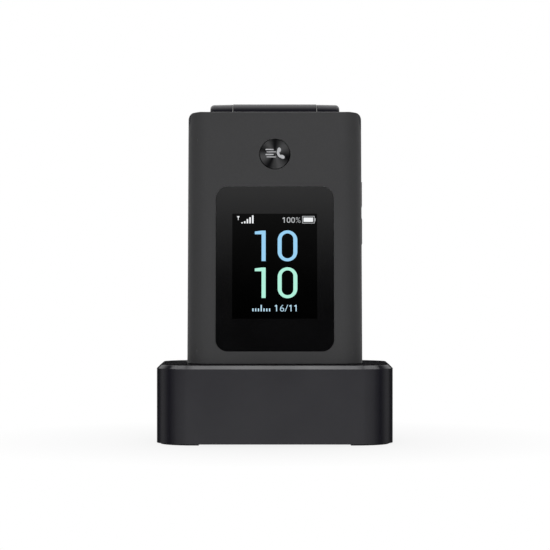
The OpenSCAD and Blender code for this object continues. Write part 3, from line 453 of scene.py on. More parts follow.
@dataclass(frozen=True)
class ScreenLight(Finish):
    """Lit pixels under anti-glare glass: colour that shines by itself, in a fine grain of dots.

    Real pixels are too fine to show, so the dots are drawn a little coarser.
    """

    name: str
    colour: str
    dot_mm: float = 0.16
    dot_dip: float = 0.04
    body: tuple[float, float, float, float] = (0.002, 0.002, 0.002, 1.0)
    roughness: float = 0.25
    specular: float = 0.05

    def shader(self, tree: Tree, place: Socket) -> Node:
        """Add light that dips slightly between the dots.

        Args:
            tree: The node tree that gets it.
            place: The socket that it reads its place from.

        Returns:
            The shader.
        """
        dots = add_node(tree, "TexNoise", {"Vector": place, "Scale": per_metre(self.dot_mm), "Detail": 0.0})
        level = add_node(tree, "MapRange", {"Value": dots, **NOISE_SPAN, "To Min": 1 - self.dot_dip,
                                            "To Max": 1.0})
        light = add_node(tree, "VectorMath", {0: linear(self.colour)[:3], "Scale": level}, operation="SCALE")
        return add_node(tree, "BsdfPrincipled", {"Base Color": self.body, "Roughness": self.roughness,
                                                 "Specular IOR Level": self.specular,
                                                 "Emission Color": light, "Emission Strength": 1.0})


@dataclass(frozen=True)
class Ink(Finish):
    """A sign printed on plastic or metal in satin ink that thins a little here and there."""

    name: str
    colour: str
    roughness: float = 0.5
    cloud_mm: float = 0.8
    thinning: float = 0.14

    def shader(self, tree: Tree, place: Socket) -> Node:
        """Add ink with a cloudy cover.

        Args:
            tree: The node tree that gets it.
            place: The socket that it reads its place from.

        Returns:
            The shader.
        """
        cover = add_node(tree, "TexNoise", {"Vector": place, "Scale": per_metre(self.cloud_mm),
                                            "Detail": 4.0})
        level = add_node(tree, "MapRange", {"Value": cover, **NOISE_SPAN, "To Min": 1 - self.thinning,
                                            "To Max": 1.0})
        colour = add_node(tree, "VectorMath", {0: linear(self.colour)[:3], "Scale": level}, operation="SCALE")
        return add_node(tree, "BsdfPrincipled", {"Base Color": colour, "Roughness": self.roughness})


@dataclass(frozen=True)
class FadingPaper(Finish):
    """Pale paper that shows only round the object, where its shadow lies, and is white elsewhere.

    The fade gives the distances from the object, in metres, between which the white takes over.
    """

    name: str
    colour: str
    near: float = 0.85
    fade: Pair = (0.03, 0.11)

    def shader(self, tree: Tree, place: Socket) -> Node:
        """Add the paper, and a white that only the camera sees.

        Args:
            tree: The node tree that gets them.
            place: The socket that they read their place from.

        Returns:
            The shader.
        """
        paper = add_node(tree, "BsdfDiffuse", {"Color": linear(self.colour)})
        glow = add_node(tree, "Emission", {"Color": WHITE})
        away = add_node(tree, "VectorMath", {0: place}, operation="LENGTH").outputs["Value"]
        white = add_node(tree, "MapRange", {"Value": away, "From Min": self.fade[0], "From Max": self.fade[1],
                                            "To Min": self.near, "To Max": 1.0})
        camera_ray = add_node(tree, "LightPath").outputs["Is Camera Ray"]
        share = add_node(tree, "Math", {0: camera_ray, 1: white}, operation="MULTIPLY")
        return add_node(tree, "MixShader", {0: share, 1: paper, 2: glow})


# ABS with a sprayed soft-touch coat: an even, velvety dark grey with a fine speckle
SOFT_TOUCH = Plastic("soft_touch_coated_abs", "#3d3d3e", 0.55, grain_mm=0.55, grain_shade=0.05,
                     grain_depth=0.012, edge_lift=0.05, sheen=0.3)
# Polished ABS: near black, with a clear but slightly wavy reflection
POLISHED_ABS = Plastic("polished_black_abs", "#18171f", 0.13, grain_mm=2.4, grain_shade=0.04,
                       grain_depth=0.002, gloss_drift=0.03, edge_mm=0.25, edge_lift=0.1)
# The coat stops where the hinge's barrels turn, since none would last there: polished black shows
COATED_TO_BARREL = PartCoated("soft_touch_coat_bare_barrel", SOFT_TOUCH, POLISHED_ABS,
                              DOCK.point(0.0, 0.0, DOCK.hinge_z), 5.25 * MM)
# Polycarbonate from a spark-eroded mould: dark, with a fine sandy grain that kills glare
SPARKED_PC = Plastic("spark_grained_polycarbonate", "#29292c", 0.42, grain_mm=0.35, grain_shade=0.08,
                     grain_depth=0.02)
# Silk-finished key caps: a shade darker than the plate round them
KEY_CAP = Plastic("silk_moulded_key_abs", "#1d1d20", 0.32, grain_mm=0.5, grain_shade=0.06,
                  grain_depth=0.006, edge_lift=0.5)
# Plain moulded inner parts: dull black
PLAIN_MOULDING = Plastic("plain_moulded_nylon", "#202022", 0.55, grain_mm=0.6)
# Thrust washers in near-white nylon, whose colour is painted light: thin pale lines that stand for light
# between the dark barrels
NYLON_PAINTED_GAP_LIGHT = Plastic("pale_nylon_painted_gap_light", "#dcdcd8", 0.5)
# Moulded rubber: deep black, dusty at its edges
MOULDED_RUBBER = Plastic("moulded_rubber", "#1b1b1c", 0.75, grain_mm=0.4, grain_shade=0.12,
                         grain_depth=0.02, edge_lift=0.6)
# Solder-masked glass-fibre board: green, with a faint mottle
SOLDER_MASK = Plastic("solder_masked_board", "#1f5a3a", 0.35, grain_mm=0.8, grain_shade=0.15)
# Printed film round the battery: plain mid grey
BATTERY_FILM = Plastic("battery_wrap_film", "#55565a", 0.4, grain_mm=1.5, grain_shade=0.05)
# Zinc-plated steel: pale grey with a drawn grain
PLATED_STEEL = Metal("zinc_plated_steel", "#b4b6ba", 0.3)
# Nickel-plated sheet: brighter and smoother, for sockets and domes
NICKEL_SHEET = Metal("nickel_plated_sheet", "#c3c2bf", 0.22, stretch=(8.0, 1.0, 1.0))
# Cast zinc of the weights: dull and cloudy
CAST_ZINC = Metal("cast_zinc", "#8f9194", 0.5, grain_mm=0.6, stretch=(1.0, 1.0, 1.0), tarnish=0.3)
# Gold flash over nickel: warm contacts
GOLD_FLASH = Metal("gold_flashed_contact", "#d8ad55", 0.2)
# Copper under amber film: the rolled flexible circuit
FLEX_FILM = Metal("amber_flex_circuit", "#b8722f", 0.4)
# Cover glass with black ink behind it: deep, with a clear reflection
COVER_GLASS = BackedGlass("black_backed_cover_glass", "#0e0e0f")
# The display's own area, under an anti-glare film that takes the reflection off it
DARK_PANEL = BackedGlass("anti_glare_display_panel", "#010101", 0.06, 0.14)
# Lit pixels: even colours that stay the same in any light
CLOCK_BLUE = ScreenLight("screen_light_blue", "#9bd3f6")
CLOCK_MINT = ScreenLight("screen_light_mint", "#b3f3dd")
CLOCK_WHITE = ScreenLight("screen_light_white", "#f4f6f8")
CLOCK_GREY = ScreenLight("screen_light_grey", "#b9bbbd")
PALE_BLUE = ScreenLight("screen_light_pale_blue", "#bfe2f5")
DEEP_BLUE = ScreenLight("screen_light_deep_blue", "#16304a")
# Satin pad-printing inks: flat, clear signs on dark plastic and metal
PALE_INK = Ink("pale_grey_key_ink", "#d2d3d6")
GREY_INK = Ink("mid_grey_key_ink", "#bcbcbe")
GREEN_INK = Ink("green_key_ink", "#3fae63")
RED_INK = Ink("red_key_ink", "#cf4540")
# Matt paper: a near-white that takes a soft shadow
PALE_FLOOR = FadingPaper("pale_matt_floor", "#e9e9ea")


# ------------------------------------------------------------------ modelling


def start_fresh() -> None:
    """Go to object mode with nothing selected."""
    if bpy.context.mode != "OBJECT":
        bpy.ops.object.mode_set(mode="OBJECT")
    bpy.ops.object.select_all(action="DESELECT")


def take(piece: Piece) -> None:
    """Select one piece alone, in object mode, and make it the active one.

    Args:
        piece: The piece.
    """
    start_fresh()
    piece.select_set(True)
    bpy.context.view_layer.objects.active = piece


def open_up() -> None:
    """Go to edit mode with all of the active piece selected."""
    bpy.ops.object.mode_set(mode="EDIT")
    bpy.ops.mesh.select_all(action="SELECT")


def start_with(primitive: Callable[..., Any], **shape: Any) -> Piece:
    """Add a primitive and go to edit mode with all of it selected.

    Args:
        primitive: The operator that adds it.
        **shape: Its size and place.

    Returns:
        The new piece.
    """
    start_fresh()
    primitive(**shape)
    open_up()
    return bpy.context.active_object


def pick_vertices(piece: Piece, wanted: Callable[[Vector], bool]) -> None:
    """Select the vertices for which wanted(place) is true, in edit mode.

    Args:
        piece: The object in edit mode.
        wanted: A function of a vertex's place, from the object's origin.
    """
    bpy.ops.mesh.select_mode(type="VERT")
    bpy.ops.mesh.select_all(action="DESELECT")
    bpy.ops.object.mode_set(mode="OBJECT")
    for vertex in piece.data.vertices:
        vertex.select = bool(wanted(vertex.co))
    bpy.ops.object.mode_set(mode="EDIT")


def shift(x: float, y: float) -> None:
    """Move what is selected in edit mode."""
    bpy.ops.transform.translate(value=(x, y, 0.0))


def extend(x: float, y: float, z: float = 0.0) -> None:
    """Extrude what is selected in edit mode."""
    bpy.ops.mesh.extrude_region_move(TRANSFORM_OT_translate={"value": (x, y, z)})


def rotate_flat(turn: float) -> None:
    """Turn what is selected in edit mode against the clock round the origin, by degrees."""
    bpy.ops.transform.rotate(value=-math.radians(turn), orient_axis="Z", center_override=ORIGIN)


def close_up(piece: Piece, centre: Pair = (0.0, 0.0), turn: float = 0.0) -> Piece:
    """Turn and move all of a piece in edit mode, and finish its mesh.

    Args:
        piece: The piece.
        centre: Where its origin goes.
        turn: Turn against the clock, in degrees.

    Returns:
        The piece in object mode, with its doubles merged and its faces turned outward.
    """
    bpy.ops.mesh.select_all(action="SELECT")
    if turn:
        rotate_flat(turn)
    shift(*centre)
    bpy.ops.mesh.remove_doubles(threshold=1e-5)
    bpy.ops.mesh.normals_make_consistent(inside=False)
    bpy.ops.object.mode_set(mode="OBJECT")
    return piece


def raised(piece: Piece, thickness: float, centre: Pair = (0.0, 0.0), turn: float = 0.0) -> Piece:
    """Raise a flat outline in edit mode along Z, and turn, move and finish it.

    Args:
        piece: The outline.
        thickness: Size along Z.
        centre: Where its origin goes.
        turn: Turn against the clock, in degrees.

    Returns:
        The closed piece, in object mode.
    """
    bpy.ops.mesh.select_all(action="SELECT")
    extend(0.0, 0.0, thickness)
    return close_up(piece, centre, turn)


def slab(width: float, height: float, thickness: float, centre: Pair = (0.0, 0.0),
         radius: float = 0.0) -> Piece:
    """Model a flat plate, lying in X and Y and rising along Z.

    Args:
        width: Size along X, in millimetres.
        height: Size along Y.
        thickness: Size along Z.
        centre: Where its middle is.
        radius: Radius of its corners; 0 leaves them sharp.

    Returns:
        The plate.
    """
    piece = start_with(bpy.ops.mesh.primitive_plane_add, size=1.0, location=(*centre, 0.0))
    bpy.ops.transform.resize(value=(width, height, 1.0))
    if radius > 0:
        bpy.ops.mesh.bevel(offset=radius, segments=6, affect="VERTICES")
    return raised(piece, thickness)


def loop_ring(width: float, height: float, stroke: float, thickness: float, centre: Pair = (0.0, 0.0),
              thinner: float = 0.0) -> Piece:
    """Model an upright loop such as a drawn nought: a round ring, drawn out along Y.

    Args:
        width: Size over all along X, in millimetres.
        height: Size over all along Y.
        stroke: Width of its stroke at the sides.
        thickness: Size along Z.
        centre: Where its middle is.
        thinner: How much thinner its stroke is at the top and bottom.

    Returns:
        The loop.
    """
    piece = start_with(bpy.ops.mesh.primitive_circle_add, vertices=64, radius=width / 2, fill_type="NGON",
                       location=(*centre, 0.0))
    bpy.ops.mesh.select_mode(type="FACE")
    bpy.ops.mesh.select_all(action="SELECT")
    bpy.ops.mesh.inset(thickness=stroke)
    bpy.ops.mesh.delete(type="FACE")
    half, middle_of_stroke = (height - width) / 2, (width - stroke) / 2
    for sign in (1, -1):
        pick_vertices(piece, lambda place, sign=sign: sign * place.y > HAIR)
        shift(0.0, sign * half)
        # The inner edge of this half moves further out where the stroke is thinner at its end
        pick_vertices(piece, lambda place, sign=sign: sign * place.y > half + HAIR
                      and math.hypot(place.x, place.y - sign * half) < middle_of_stroke)
        shift(0.0, sign * thinner)
    return raised(piece, thickness)


def flagged_stem(stem_x: Pair, stem_y: Pair, flag_x: float, flag_y: Pair, thickness: float) -> Piece:
    """Model a drawn one: an upright stem with a flag at the left of its top.

    Args:
        stem_x: Left and right edge of the stem, in millimetres.
        stem_y: Lower and upper end of the stem.
        flag_x: Left end of the flag.
        flag_y: Lower edge and upper left corner of the flag.
        thickness: Size along Z.

    Returns:
        The one.
    """
    (left, right), (low, high), (flag_low, flag_high) = stem_x, stem_y, flag_y
    middle_x, middle_y = (left + right) / 2, (high + flag_low) / 2
    piece = start_with(bpy.ops.mesh.primitive_plane_add, size=1.0, location=(middle_x, middle_y, 0.0))
    bpy.ops.transform.resize(value=(right - left, high - flag_low, 1.0))
    # The stem grows down from the lower edge, and the flag to the left from the left edge
    pick_vertices(piece, lambda place: place.y < 0)
    extend(0.0, low - flag_low)
    pick_vertices(piece, lambda place: place.x < 0 and place.y + middle_y > flag_low - HAIR)
    extend(flag_x - left, 0.0)
    pick_vertices(piece, lambda place: place.x + middle_x < flag_x + HAIR
                  and place.y + middle_y > high - HAIR)
    shift(0.0, flag_high - high)
    return raised(piece, thickness)


def disc(radius: float, thickness: float, centre: Pair, stretch: float, turn: float) -> Piece:
    """Model a flat oval plate.

    Args:
        radius: Half its width along X before its turn, in millimetres.
        thickness: Size along Z.
        centre: Where its middle is.
        stretch: Its length along Y over its width.
        turn: Turn against the clock, in degrees.

    Returns:
        The plate.
    """
    piece = start_with(bpy.ops.mesh.primitive_circle_add, vertices=32, radius=radius, fill_type="NGON")
    bpy.ops.transform.resize(value=(1.0, stretch, 1.0))
    return raised(piece, thickness, centre, turn)


def arrow_head(size: float, thickness: float, centre: Pair, turn: float) -> Piece:
    """Model a small three-cornered arrow head that points up before its turn.

    Args:
        size: Its width, in millimetres.
        thickness: Size along Z.
        centre: Where its middle is.
        turn: Turn against the clock, in degrees.

    Returns:
        The arrow head.
    """
    reach, corner, squash = 0.58 * size, 0.12 * size, 0.75
    piece = start_with(bpy.ops.mesh.primitive_circle_add, vertices=3, radius=reach, fill_type="NGON")
    bpy.ops.mesh.bevel(offset=corner, segments=3, affect="VERTICES")
    bpy.ops.mesh.select_all(action="SELECT")
    bpy.ops.transform.resize(value=(1.0, squash, 1.0))
    return raised(piece, thickness, centre, turn)


def fused(pieces: Sequence[Piece]) -> Piece:
    """Fuse closed solids that overlap into the first one.

    Args:
        pieces: The solids.

    Returns:
        The one solid that is left.
    """
    body = pieces[0]
    for other in pieces[1:]:
        take(body)
        union = body.modifiers.new("union", "BOOLEAN")
        union.operation = "UNION"
        union.solver = "EXACT"
        union.object = other
        bpy.ops.object.modifier_apply(modifier=union.name)
        bpy.data.objects.remove(other, do_unlink=True)
    return body


def handset(length: float, stroke: float, thickness: float, centre: Pair = (0.0, 0.0),
            turn: float = 0.0) -> Piece:
    """Model a plain telephone handset: a bowed grip with a rounded lobe at each end.

    Before its turn it stands upright and its hollow side looks along +X.

    Args:
        length: Distance between the middles of its lobes, in millimetres.
        stroke: Width of the grip; each lobe is wider.
        thickness: Size along Z.
        centre: Where its middle is.
        turn: Turn against the clock, in degrees.

    Returns:
        The handset.
    """
    half_bow, hair_line = 55.0, 1e-3
    lobe_r, lobe_stretch, lobe_inset = 0.72 * stroke, 1.35, 0.18 * stroke
    radius = length / (2 * math.sin(math.radians(half_bow)))
    ends_x = -radius * math.cos(math.radians(half_bow))
    grip = start_with(bpy.ops.mesh.primitive_plane_add, size=1.0)
    # The plane shrinks to one edge across the grip, which starts at the lower end of the bow
    bpy.ops.transform.resize(value=(stroke, hair_line, 1.0))
    bpy.ops.mesh.remove_doubles(threshold=2 * hair_line)
    bpy.ops.mesh.select_all(action="SELECT")
    shift(-radius, 0.0)
    rotate_flat(half_bow)
    bpy.ops.mesh.select_all(action="SELECT")
    bpy.ops.mesh.spin(steps=14, angle=math.radians(2 * half_bow), center=ORIGIN, axis=(0.0, 0.0, 1.0))
    raised(grip, thickness)
    lobes = [disc(lobe_r, thickness, (ends_x + lobe_inset, sign * length / 2), lobe_stretch,
                  -sign * (90.0 - half_bow)) for sign in (1, -1)]
    piece = fused([grip] + lobes)
    take(piece)
    open_up()
    shift((radius - ends_x) / 2, 0.0)
    return close_up(piece, centre, turn)


def figures(words: str, width: float, height: float, thickness: float, centre: Pair = (0.0, 0.0),
            thin: float = 0.0) -> Piece:
    """Model plain figures that fill a box.

    Args:
        words: The figures.
        width: Size over all along X, in millimetres; 0 keeps their own proportions.
        height: Size over all along Y.
        thickness: Size along Z.
        centre: Where their middle is.
        thin: How much is taken off each side of a stroke, as a share of the type's size.

    Returns:
        The figures, as one mesh.
    """
    start_fresh()
    bpy.ops.object.text_add()
    piece = bpy.context.active_object
    piece.data.body = words
    piece.data.resolution_u = 4
    piece.data.offset = -thin
    bpy.ops.object.convert(target="MESH")
    piece = bpy.context.active_object
    xs, ys = zip(*((vertex.co.x, vertex.co.y) for vertex in piece.data.vertices))
    tall = height / (max(ys) - min(ys))
    wide = width / (max(xs) - min(xs)) if width else tall
    open_up()
    shift(-(min(xs) + max(xs)) / 2, -(min(ys) + max(ys)) / 2)
    bpy.ops.transform.resize(value=(wide, tall, 1.0), center_override=ORIGIN)
    shift(*centre)
    bpy.ops.mesh.remove_doubles(threshold=1e-5)
    return raised(piece, thickness)


def joined(pieces: Sequence[Piece]) -> Piece:
    """Join pieces into the first one.

    Args:
        pieces: Two pieces or more.

    Returns:
        The one piece that is left.
    """
    take(pieces[0])
    for piece in pieces[1:]:
        piece.select_set(True)
    bpy.ops.object.join()
    return bpy.context.active_object


def settle(piece: Piece, name: str, place: Matrix, finish: Finish, body: str) -> None:
    """Name a finished piece, put it in its place, dress it and let it ride.

    Args:
        piece: The modelled piece.
        name: Its name.
        place: The matrix from its millimetres to the scene's metres.
        finish: Its finish.
        body: The body that it rides on.
    """
    take(piece)
    piece.name = name
    piece.data.name = name
    piece.matrix_world = place @ piece.matrix_world
    bpy.ops.object.transform_apply(location=True, rotation=True, scale=True)
    piece.data.materials.clear()
    piece.data.materials.append(finish.material())
    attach(piece, body)


def dress(finish: Finish, *nodes: str) -> None:
    """Give CAD nodes a finish.

    Args:
        finish: The finish.
        *nodes: The nodes' names.
    """
    for name in nodes:
        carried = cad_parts[name]
        if not carried.material_slots:
            carried.data.materials.append(None)
        for slot in carried.material_slots:
            slot.link = "OBJECT"
            slot.material = finish.material()


# ------------------------------------------------------------------ the object's own pieces


@dataclass
class Cradle:
    """The charging cradle: polished housing, rubber feet, weights, board and contacts."""

    def build(self) -> None:
        """Dress the cradle's nodes."""
        dress(POLISHED_ABS, "cradle_housing", "cradle_base_plate")
        dress(MOULDED_RUBBER, "cradle_feet")
        dress(CAST_ZINC, "cradle_weights")
        dress(SOLDER_MASK, "cradle_board")
        dress(NICKEL_SHEET, "cradle_usb_socket")
        dress(PLATED_STEEL, "cradle_screws")
        dress(PLAIN_MOULDING, "cradle_contact_block")
        dress(GOLD_FLASH, "contact_pin_left", "contact_pin_right")


@dataclass
class KeypadHalf:
    """The keypad half: housings, keys with their printed signs, and what is inside.

    Sizes are in millimetres along the upright phone. The navigation ring's face slopes, so its signs
    are thick enough to come through it all over.
    """

    rows: tuple[str, ...] = ("*0#", "789", "456", "123")
    key_pitch_x: float = 16.8
    row_pitch: float = 9.675
    first_row_z: float = 23.4375
    navigation_z: float = 70.1
    side_key_x: float = 19.25
    side_key_offset: float = 7.0
    key_face: float = 0.35
    figure_h: float = 3.7
    star_and_hash: float = 0.8
    ink_t: float = 0.02
    handset_l: float = 3.4
    handset_stroke: float = 0.95
    soft_bar_l: float = 3.6
    soft_bar_h: float = 0.6
    soft_bar_r: float = 0.28
    ok_ring_d: float = 2.6
    ok_ring_stroke: float = 0.45
    arrow_w: float = 1.9
    arrow_radius: float = 8.6
    ring_ink_face: float = 0.6
    ring_ink_t: float = 0.17

    def build(self) -> None:
        """Dress the housings, keys and inner parts, and print the keys."""
        dress(COATED_TO_BARREL, "base_housing")
        dress(SOFT_TOUCH, "battery_cover", "volume_rocker")
        dress(SPARKED_PC, "keypad_frame")
        dress(KEY_CAP, "call_key", "end_key", "soft_key_left", "soft_key_right", "navigation_ring", "ok_key")
        dress(BATTERY_FILM, "battery")
        dress(SOLDER_MASK, "main_board")
        dress(NICKEL_SHEET, "dome_sheet", "phone_usb_socket", "sim_socket", "vibration_motor", "microphone")
        dress(GOLD_FLASH, "charging_contacts")
        dress(PLAIN_MOULDING, "headset_socket", "loudspeaker", "antenna", "camera_module")
        dress(PLATED_STEEL, "base_screws")
        dress(COVER_GLASS, "camera_window")
        self.print_numbers()
        self.print_signs()

    def print_on(self, key: str, sign: Piece, x: float, z: float, ink: Ink = PALE_INK,
                 kind: str = "sign") -> None:
        """Settle a sign on the face of a key whose middle is at x and z."""
        settle(sign, f"{key}_{kind}", DOCK.sign_place(x, self.key_face, z), ink, key)

    def print_numbers(self) -> None:
        """Dress and print the twelve number keys."""
        for row, signs in enumerate(self.rows):
            for column, sign in enumerate(signs):
                key = "key_" + {"*": "star", "#": "hash"}.get(sign, sign)
                dress(KEY_CAP, key)
                height = self.figure_h * (self.star_and_hash if sign in "*#" else 1.0)
                self.print_on(key, figures(sign, 0.0, height, self.ink_t), (column - 1) * self.key_pitch_x,
                              self.first_row_z + row * self.row_pitch, kind="figure")

    def arrow(self, turn: float) -> Piece:
        """Model one arrow of the navigation ring.

        Args:
            turn: Where it is round the ring, in degrees against the clock from the top.

        Returns:
            The arrow.
        """
        way = math.radians(turn)
        centre = (-self.arrow_radius * math.sin(way), self.arrow_radius * math.cos(way))
        return arrow_head(self.arrow_w, self.ring_ink_t, centre, turn)

    def print_signs(self) -> None:
        """Print the call, end, soft, navigation and OK keys."""
        middle, x = self.navigation_z, self.side_key_x
        low, high = middle - self.side_key_offset, middle + self.side_key_offset
        for key, side_x, turn, ink in (("call_key", -x, 35.0, GREEN_INK), ("end_key", x, -90.0, RED_INK)):
            sign = handset(self.handset_l, self.handset_stroke, self.ink_t, turn=turn)
            self.print_on(key, sign, side_x, low, ink)
        for key, side_x in (("soft_key_left", -x), ("soft_key_right", x)):
            bar = slab(self.soft_bar_l, self.soft_bar_h, self.ink_t, radius=self.soft_bar_r)
            self.print_on(key, bar, side_x, high)
        arrows = [self.arrow(turn) for turn in (0.0, 90.0, 180.0, 270.0)]
        settle(joined(arrows), "navigation_signs", DOCK.sign_place(0.0, self.ring_ink_face, middle), PALE_INK,
               "navigation_ring")
        ring = loop_ring(self.ok_ring_d, self.ok_ring_d, self.ok_ring_stroke, self.ink_t)
        self.print_on("ok_key", ring, 0.0, middle)


@dataclass
class Hinge:
    """The three-barrel hinge: pin, detent cartridge, rolled flexible circuit and thrust washers.

    Sizes are in millimetres along the upright phone.
    """

    gap_x: float = 13.8
    washer_d: float = 9.75
    washer_wall: float = 2.3
    washer_t: float = 0.12

    def build(self) -> None:
        """Dress the hinge's nodes and slip a washer into each gap between the barrels."""
        dress(PLATED_STEEL, "hinge_pin", "hinge_cartridge")
        dress(FLEX_FILM, "hinge_flex")
        for side, middle_x in (("left", -self.gap_x), ("right", self.gap_x)):
            # The washers' near-white is painted light: it shows as pale lines in the gaps between the dark
            # barrels
            washer = loop_ring(self.washer_d, self.washer_d, self.washer_wall, self.washer_t)
            place = (DOCK.place() @ Matrix.Translation((middle_x - self.washer_t / 2, 0.0, DOCK.hinge_z))
                     @ Matrix.Rotation(math.radians(90.0), 4, "Y"))
            settle(washer, f"hinge_washer_{side}", place, NYLON_PAINTED_GAP_LIGHT, "phone_base")


@dataclass
class Lid:
    """The lid: coated outer shell, grained inner shell, windows, bumpers and inner parts."""

    def build(self) -> None:
        """Dress the lid's nodes."""
        dress(COATED_TO_BARREL, "lid_outer_shell")
        dress(SPARKED_PC, "lid_inner_shell")
        dress(COVER_GLASS, "outer_window", "inner_window")
        dress(DARK_PANEL, "outer_display", "inner_display")
        dress(SOLDER_MASK, "lid_board")
        dress(PLAIN_MOULDING, "earpiece")
        dress(PLATED_STEEL, "lid_screws")
        dress(MOULDED_RUBBER, "lid_bumpers")


@dataclass
class OuterScreen:
    """What the outer screen shows: hours over minutes, signal, charge and date.

    Sizes are in millimetres on the window's face, along the upright phone. Hours and minutes give the
    height of their middle and their size. A flag's drops are measured from the top of its one. A small
    figure gives its width and the X of its middle, and a small one the X of its stem. The battery
    sign's tip and cell give their width, height and the X of their middle.
    """

    face: float = -8.8
    panel_x: Pair = (-13.85, 13.75)
    panel_z: Pair = (30.95, 65.4)
    panel_t: float = 0.006
    light_t: float = 0.012
    type_thin: float = 0.012
    hours: Pair = (54.81, 10.0)
    minutes: Pair = (42.7, 9.95)
    one_stem_x: Pair = (-4.3, -2.98)
    one_flag_x: float = -6.5
    one_flag_drops: Pair = (1.2, 0.3)
    nought_x: float = 4.12
    nought_w: float = 6.4
    nought_taller: float = 0.18
    nought_stroke: float = 1.3
    nought_thinner: float = 0.3
    small_stem_w: float = 0.3
    small_flag_l: float = 0.42
    small_flag_drops: Pair = (0.52, 0.26)
    line_t: float = 0.17
    signal_low: float = 62.2
    signal_heights: tuple[float, ...] = (0.36, 0.7, 1.4, 2.0, 2.62)
    signal_bar_w: float = 0.5
    signal_x: float = -10.66
    signal_pitch: float = 0.87
    aerial_x: float = -11.9
    mast_w: float = 0.18
    mast_h: float = 1.3
    mast_z: float = 63.95
    aerial_head: float = 1.0
    aerial_head_z: float = 64.35
    status_z: float = 63.3
    status_h: float = 1.8
    charge_one_x: float = 2.95
    charge_noughts_x: Pair = (4.5, 5.93)
    charge_nought_w: float = 1.2
    charge_stroke: float = 0.26
    percent: Pair = (1.5, 7.6)
    battery_z: float = 63.4
    battery_x: float = 10.95
    battery_w: float = 3.9
    battery_half_h: float = 1.12
    battery_ends_x: Pair = (9.0, 12.85)
    battery_end_h: float = 2.41
    battery_tip: Triple = (0.22, 1.0, 13.13)
    battery_cell: Triple = (3.1, 1.4, 10.9)
    date_low: float = 33.35
    date_h: float = 2.1
    type_taller: float = 0.1
    day_x: float = -7.1
    day_pitch: float = 0.9
    day_w: float = 0.4
    day_h: float = 0.95
    date_ones_x: Triple = (0.42, 5.1, 6.75)
    date_six: Pair = (1.35, 2.35)
    date_stroke: Pair = (1.1, 3.75)

    def build(self) -> None:
        """Lay the dark panel and everything that shines on it."""
        stand = DOCK.sign_place(0.0, self.face, 0.0)
        (left, right), (low, high) = self.panel_x, self.panel_z
        panel = slab(right - left, high - low, self.panel_t, ((left + right) / 2, (low + high) / 2))
        settle(panel, "outer_screen_panel", stand, DARK_PANEL, "lid")
        for name, pieces, light in (("clock_hours", self.ten(*self.hours), CLOCK_BLUE),
                                    ("clock_minutes", self.ten(*self.minutes), CLOCK_MINT),
                                    ("screen_bars", self.bars(), CLOCK_WHITE),
                                    ("screen_charge", self.charge(), CLOCK_GREY),
                                    ("screen_date_line", self.date_line(), PALE_BLUE)):
            settle(joined(pieces), name, stand, light, "lid")

    def lit(self, width: float, height: float, x: float, z: float) -> Piece:
        """Model a lit bar whose middle is at x and z."""
        return slab(width, height, self.light_t, (x, z))

    def typed(self, words: str, spot: Pair, height: float, z: float) -> Piece:
        """Model lit type of a height round z, with its width and the X of its middle in spot."""
        return figures(words, spot[0], height, self.light_t, (spot[1], z), self.type_thin)

    def ten(self, z: float, height: float) -> list[Piece]:
        """Model a ten in thin upright figures.

        Args:
            z: Height of its middle.
            height: Its height.

        Returns:
            The one and the nought.
        """
        low, high = z - height / 2, z + height / 2
        flag_low, flag_high = (high - drop for drop in self.one_flag_drops)
        one = flagged_stem(self.one_stem_x, (low, high), self.one_flag_x, (flag_low, flag_high),
                           self.light_t)
        nought = loop_ring(self.nought_w, height + self.nought_taller, self.nought_stroke, self.light_t,
                           (self.nought_x, z), self.nought_thinner)
        return [one, nought]

    def small_one(self, left: float, low: float, height: float) -> Piece:
        """Model a small one.

        Args:
            left: Left edge of its stem, in millimetres.
            low: Its lower end.
            height: Its height.

        Returns:
            The one.
        """
        high = low + height
        flag_low, flag_high = (high - drop for drop in self.small_flag_drops)
        return flagged_stem((left, left + self.small_stem_w), (low, high), left - self.small_flag_l,
                            (flag_low, flag_high), self.light_t)

    def bars(self) -> list[Piece]:
        """Model the signal bars, an aerial sign and the cell of the battery sign.

        Returns:
            The pieces.
        """
        signal = [self.lit(self.signal_bar_w, height, self.signal_x + self.signal_pitch * i,
                           self.signal_low + height / 2) for i, height in enumerate(self.signal_heights)]
        aerial = [self.lit(self.mast_w, self.mast_h, self.aerial_x, self.mast_z),
                  arrow_head(self.aerial_head, self.light_t, (self.aerial_x, self.aerial_head_z), 180.0)]
        return signal + aerial + [self.lit(*self.battery_cell, self.battery_z)]

    def charge(self) -> list[Piece]:
        """Model the charge in figures and the battery sign's outline.

        Returns:
            The pieces.
        """
        z, height = self.status_z, self.status_h
        noughts = [loop_ring(self.charge_nought_w, height, self.charge_stroke, self.light_t, (x, z))
                   for x in self.charge_noughts_x]
        one = self.small_one(self.charge_one_x, z - height / 2, height)
        percent = self.typed("%", self.percent, height, z)
        outline = [self.lit(self.battery_w, self.line_t, self.battery_x,
                            self.battery_z + side * self.battery_half_h) for side in (-1, 1)]
        outline += [self.lit(self.line_t, self.battery_end_h, x, self.battery_z)
                    for x in self.battery_ends_x]
        return noughts + [one, percent] + outline + [self.lit(*self.battery_tip, self.battery_z)]

    def date_line(self) -> list[Piece]:
        """Model a mark for each day of the week, today's tall, and the day and month in figures.

        Returns:
            The pieces.
        """
        low, height, middle = self.date_low, self.date_h, self.date_low + self.date_h / 2
        heights = [self.day_h] * 3 + [height] + [self.day_h] * 3
        days = [self.lit(self.day_w, tall, self.day_x + self.day_pitch * day, low + tall / 2)
                for day, tall in enumerate(heights)]
        ones = [self.small_one(left, low, height) for left in self.date_ones_x]
        others = [self.typed(words, spot, height + self.type_taller, middle)
                  for words, spot in (("6", self.date_six), ("/", self.date_stroke))]
        return days + ones + others


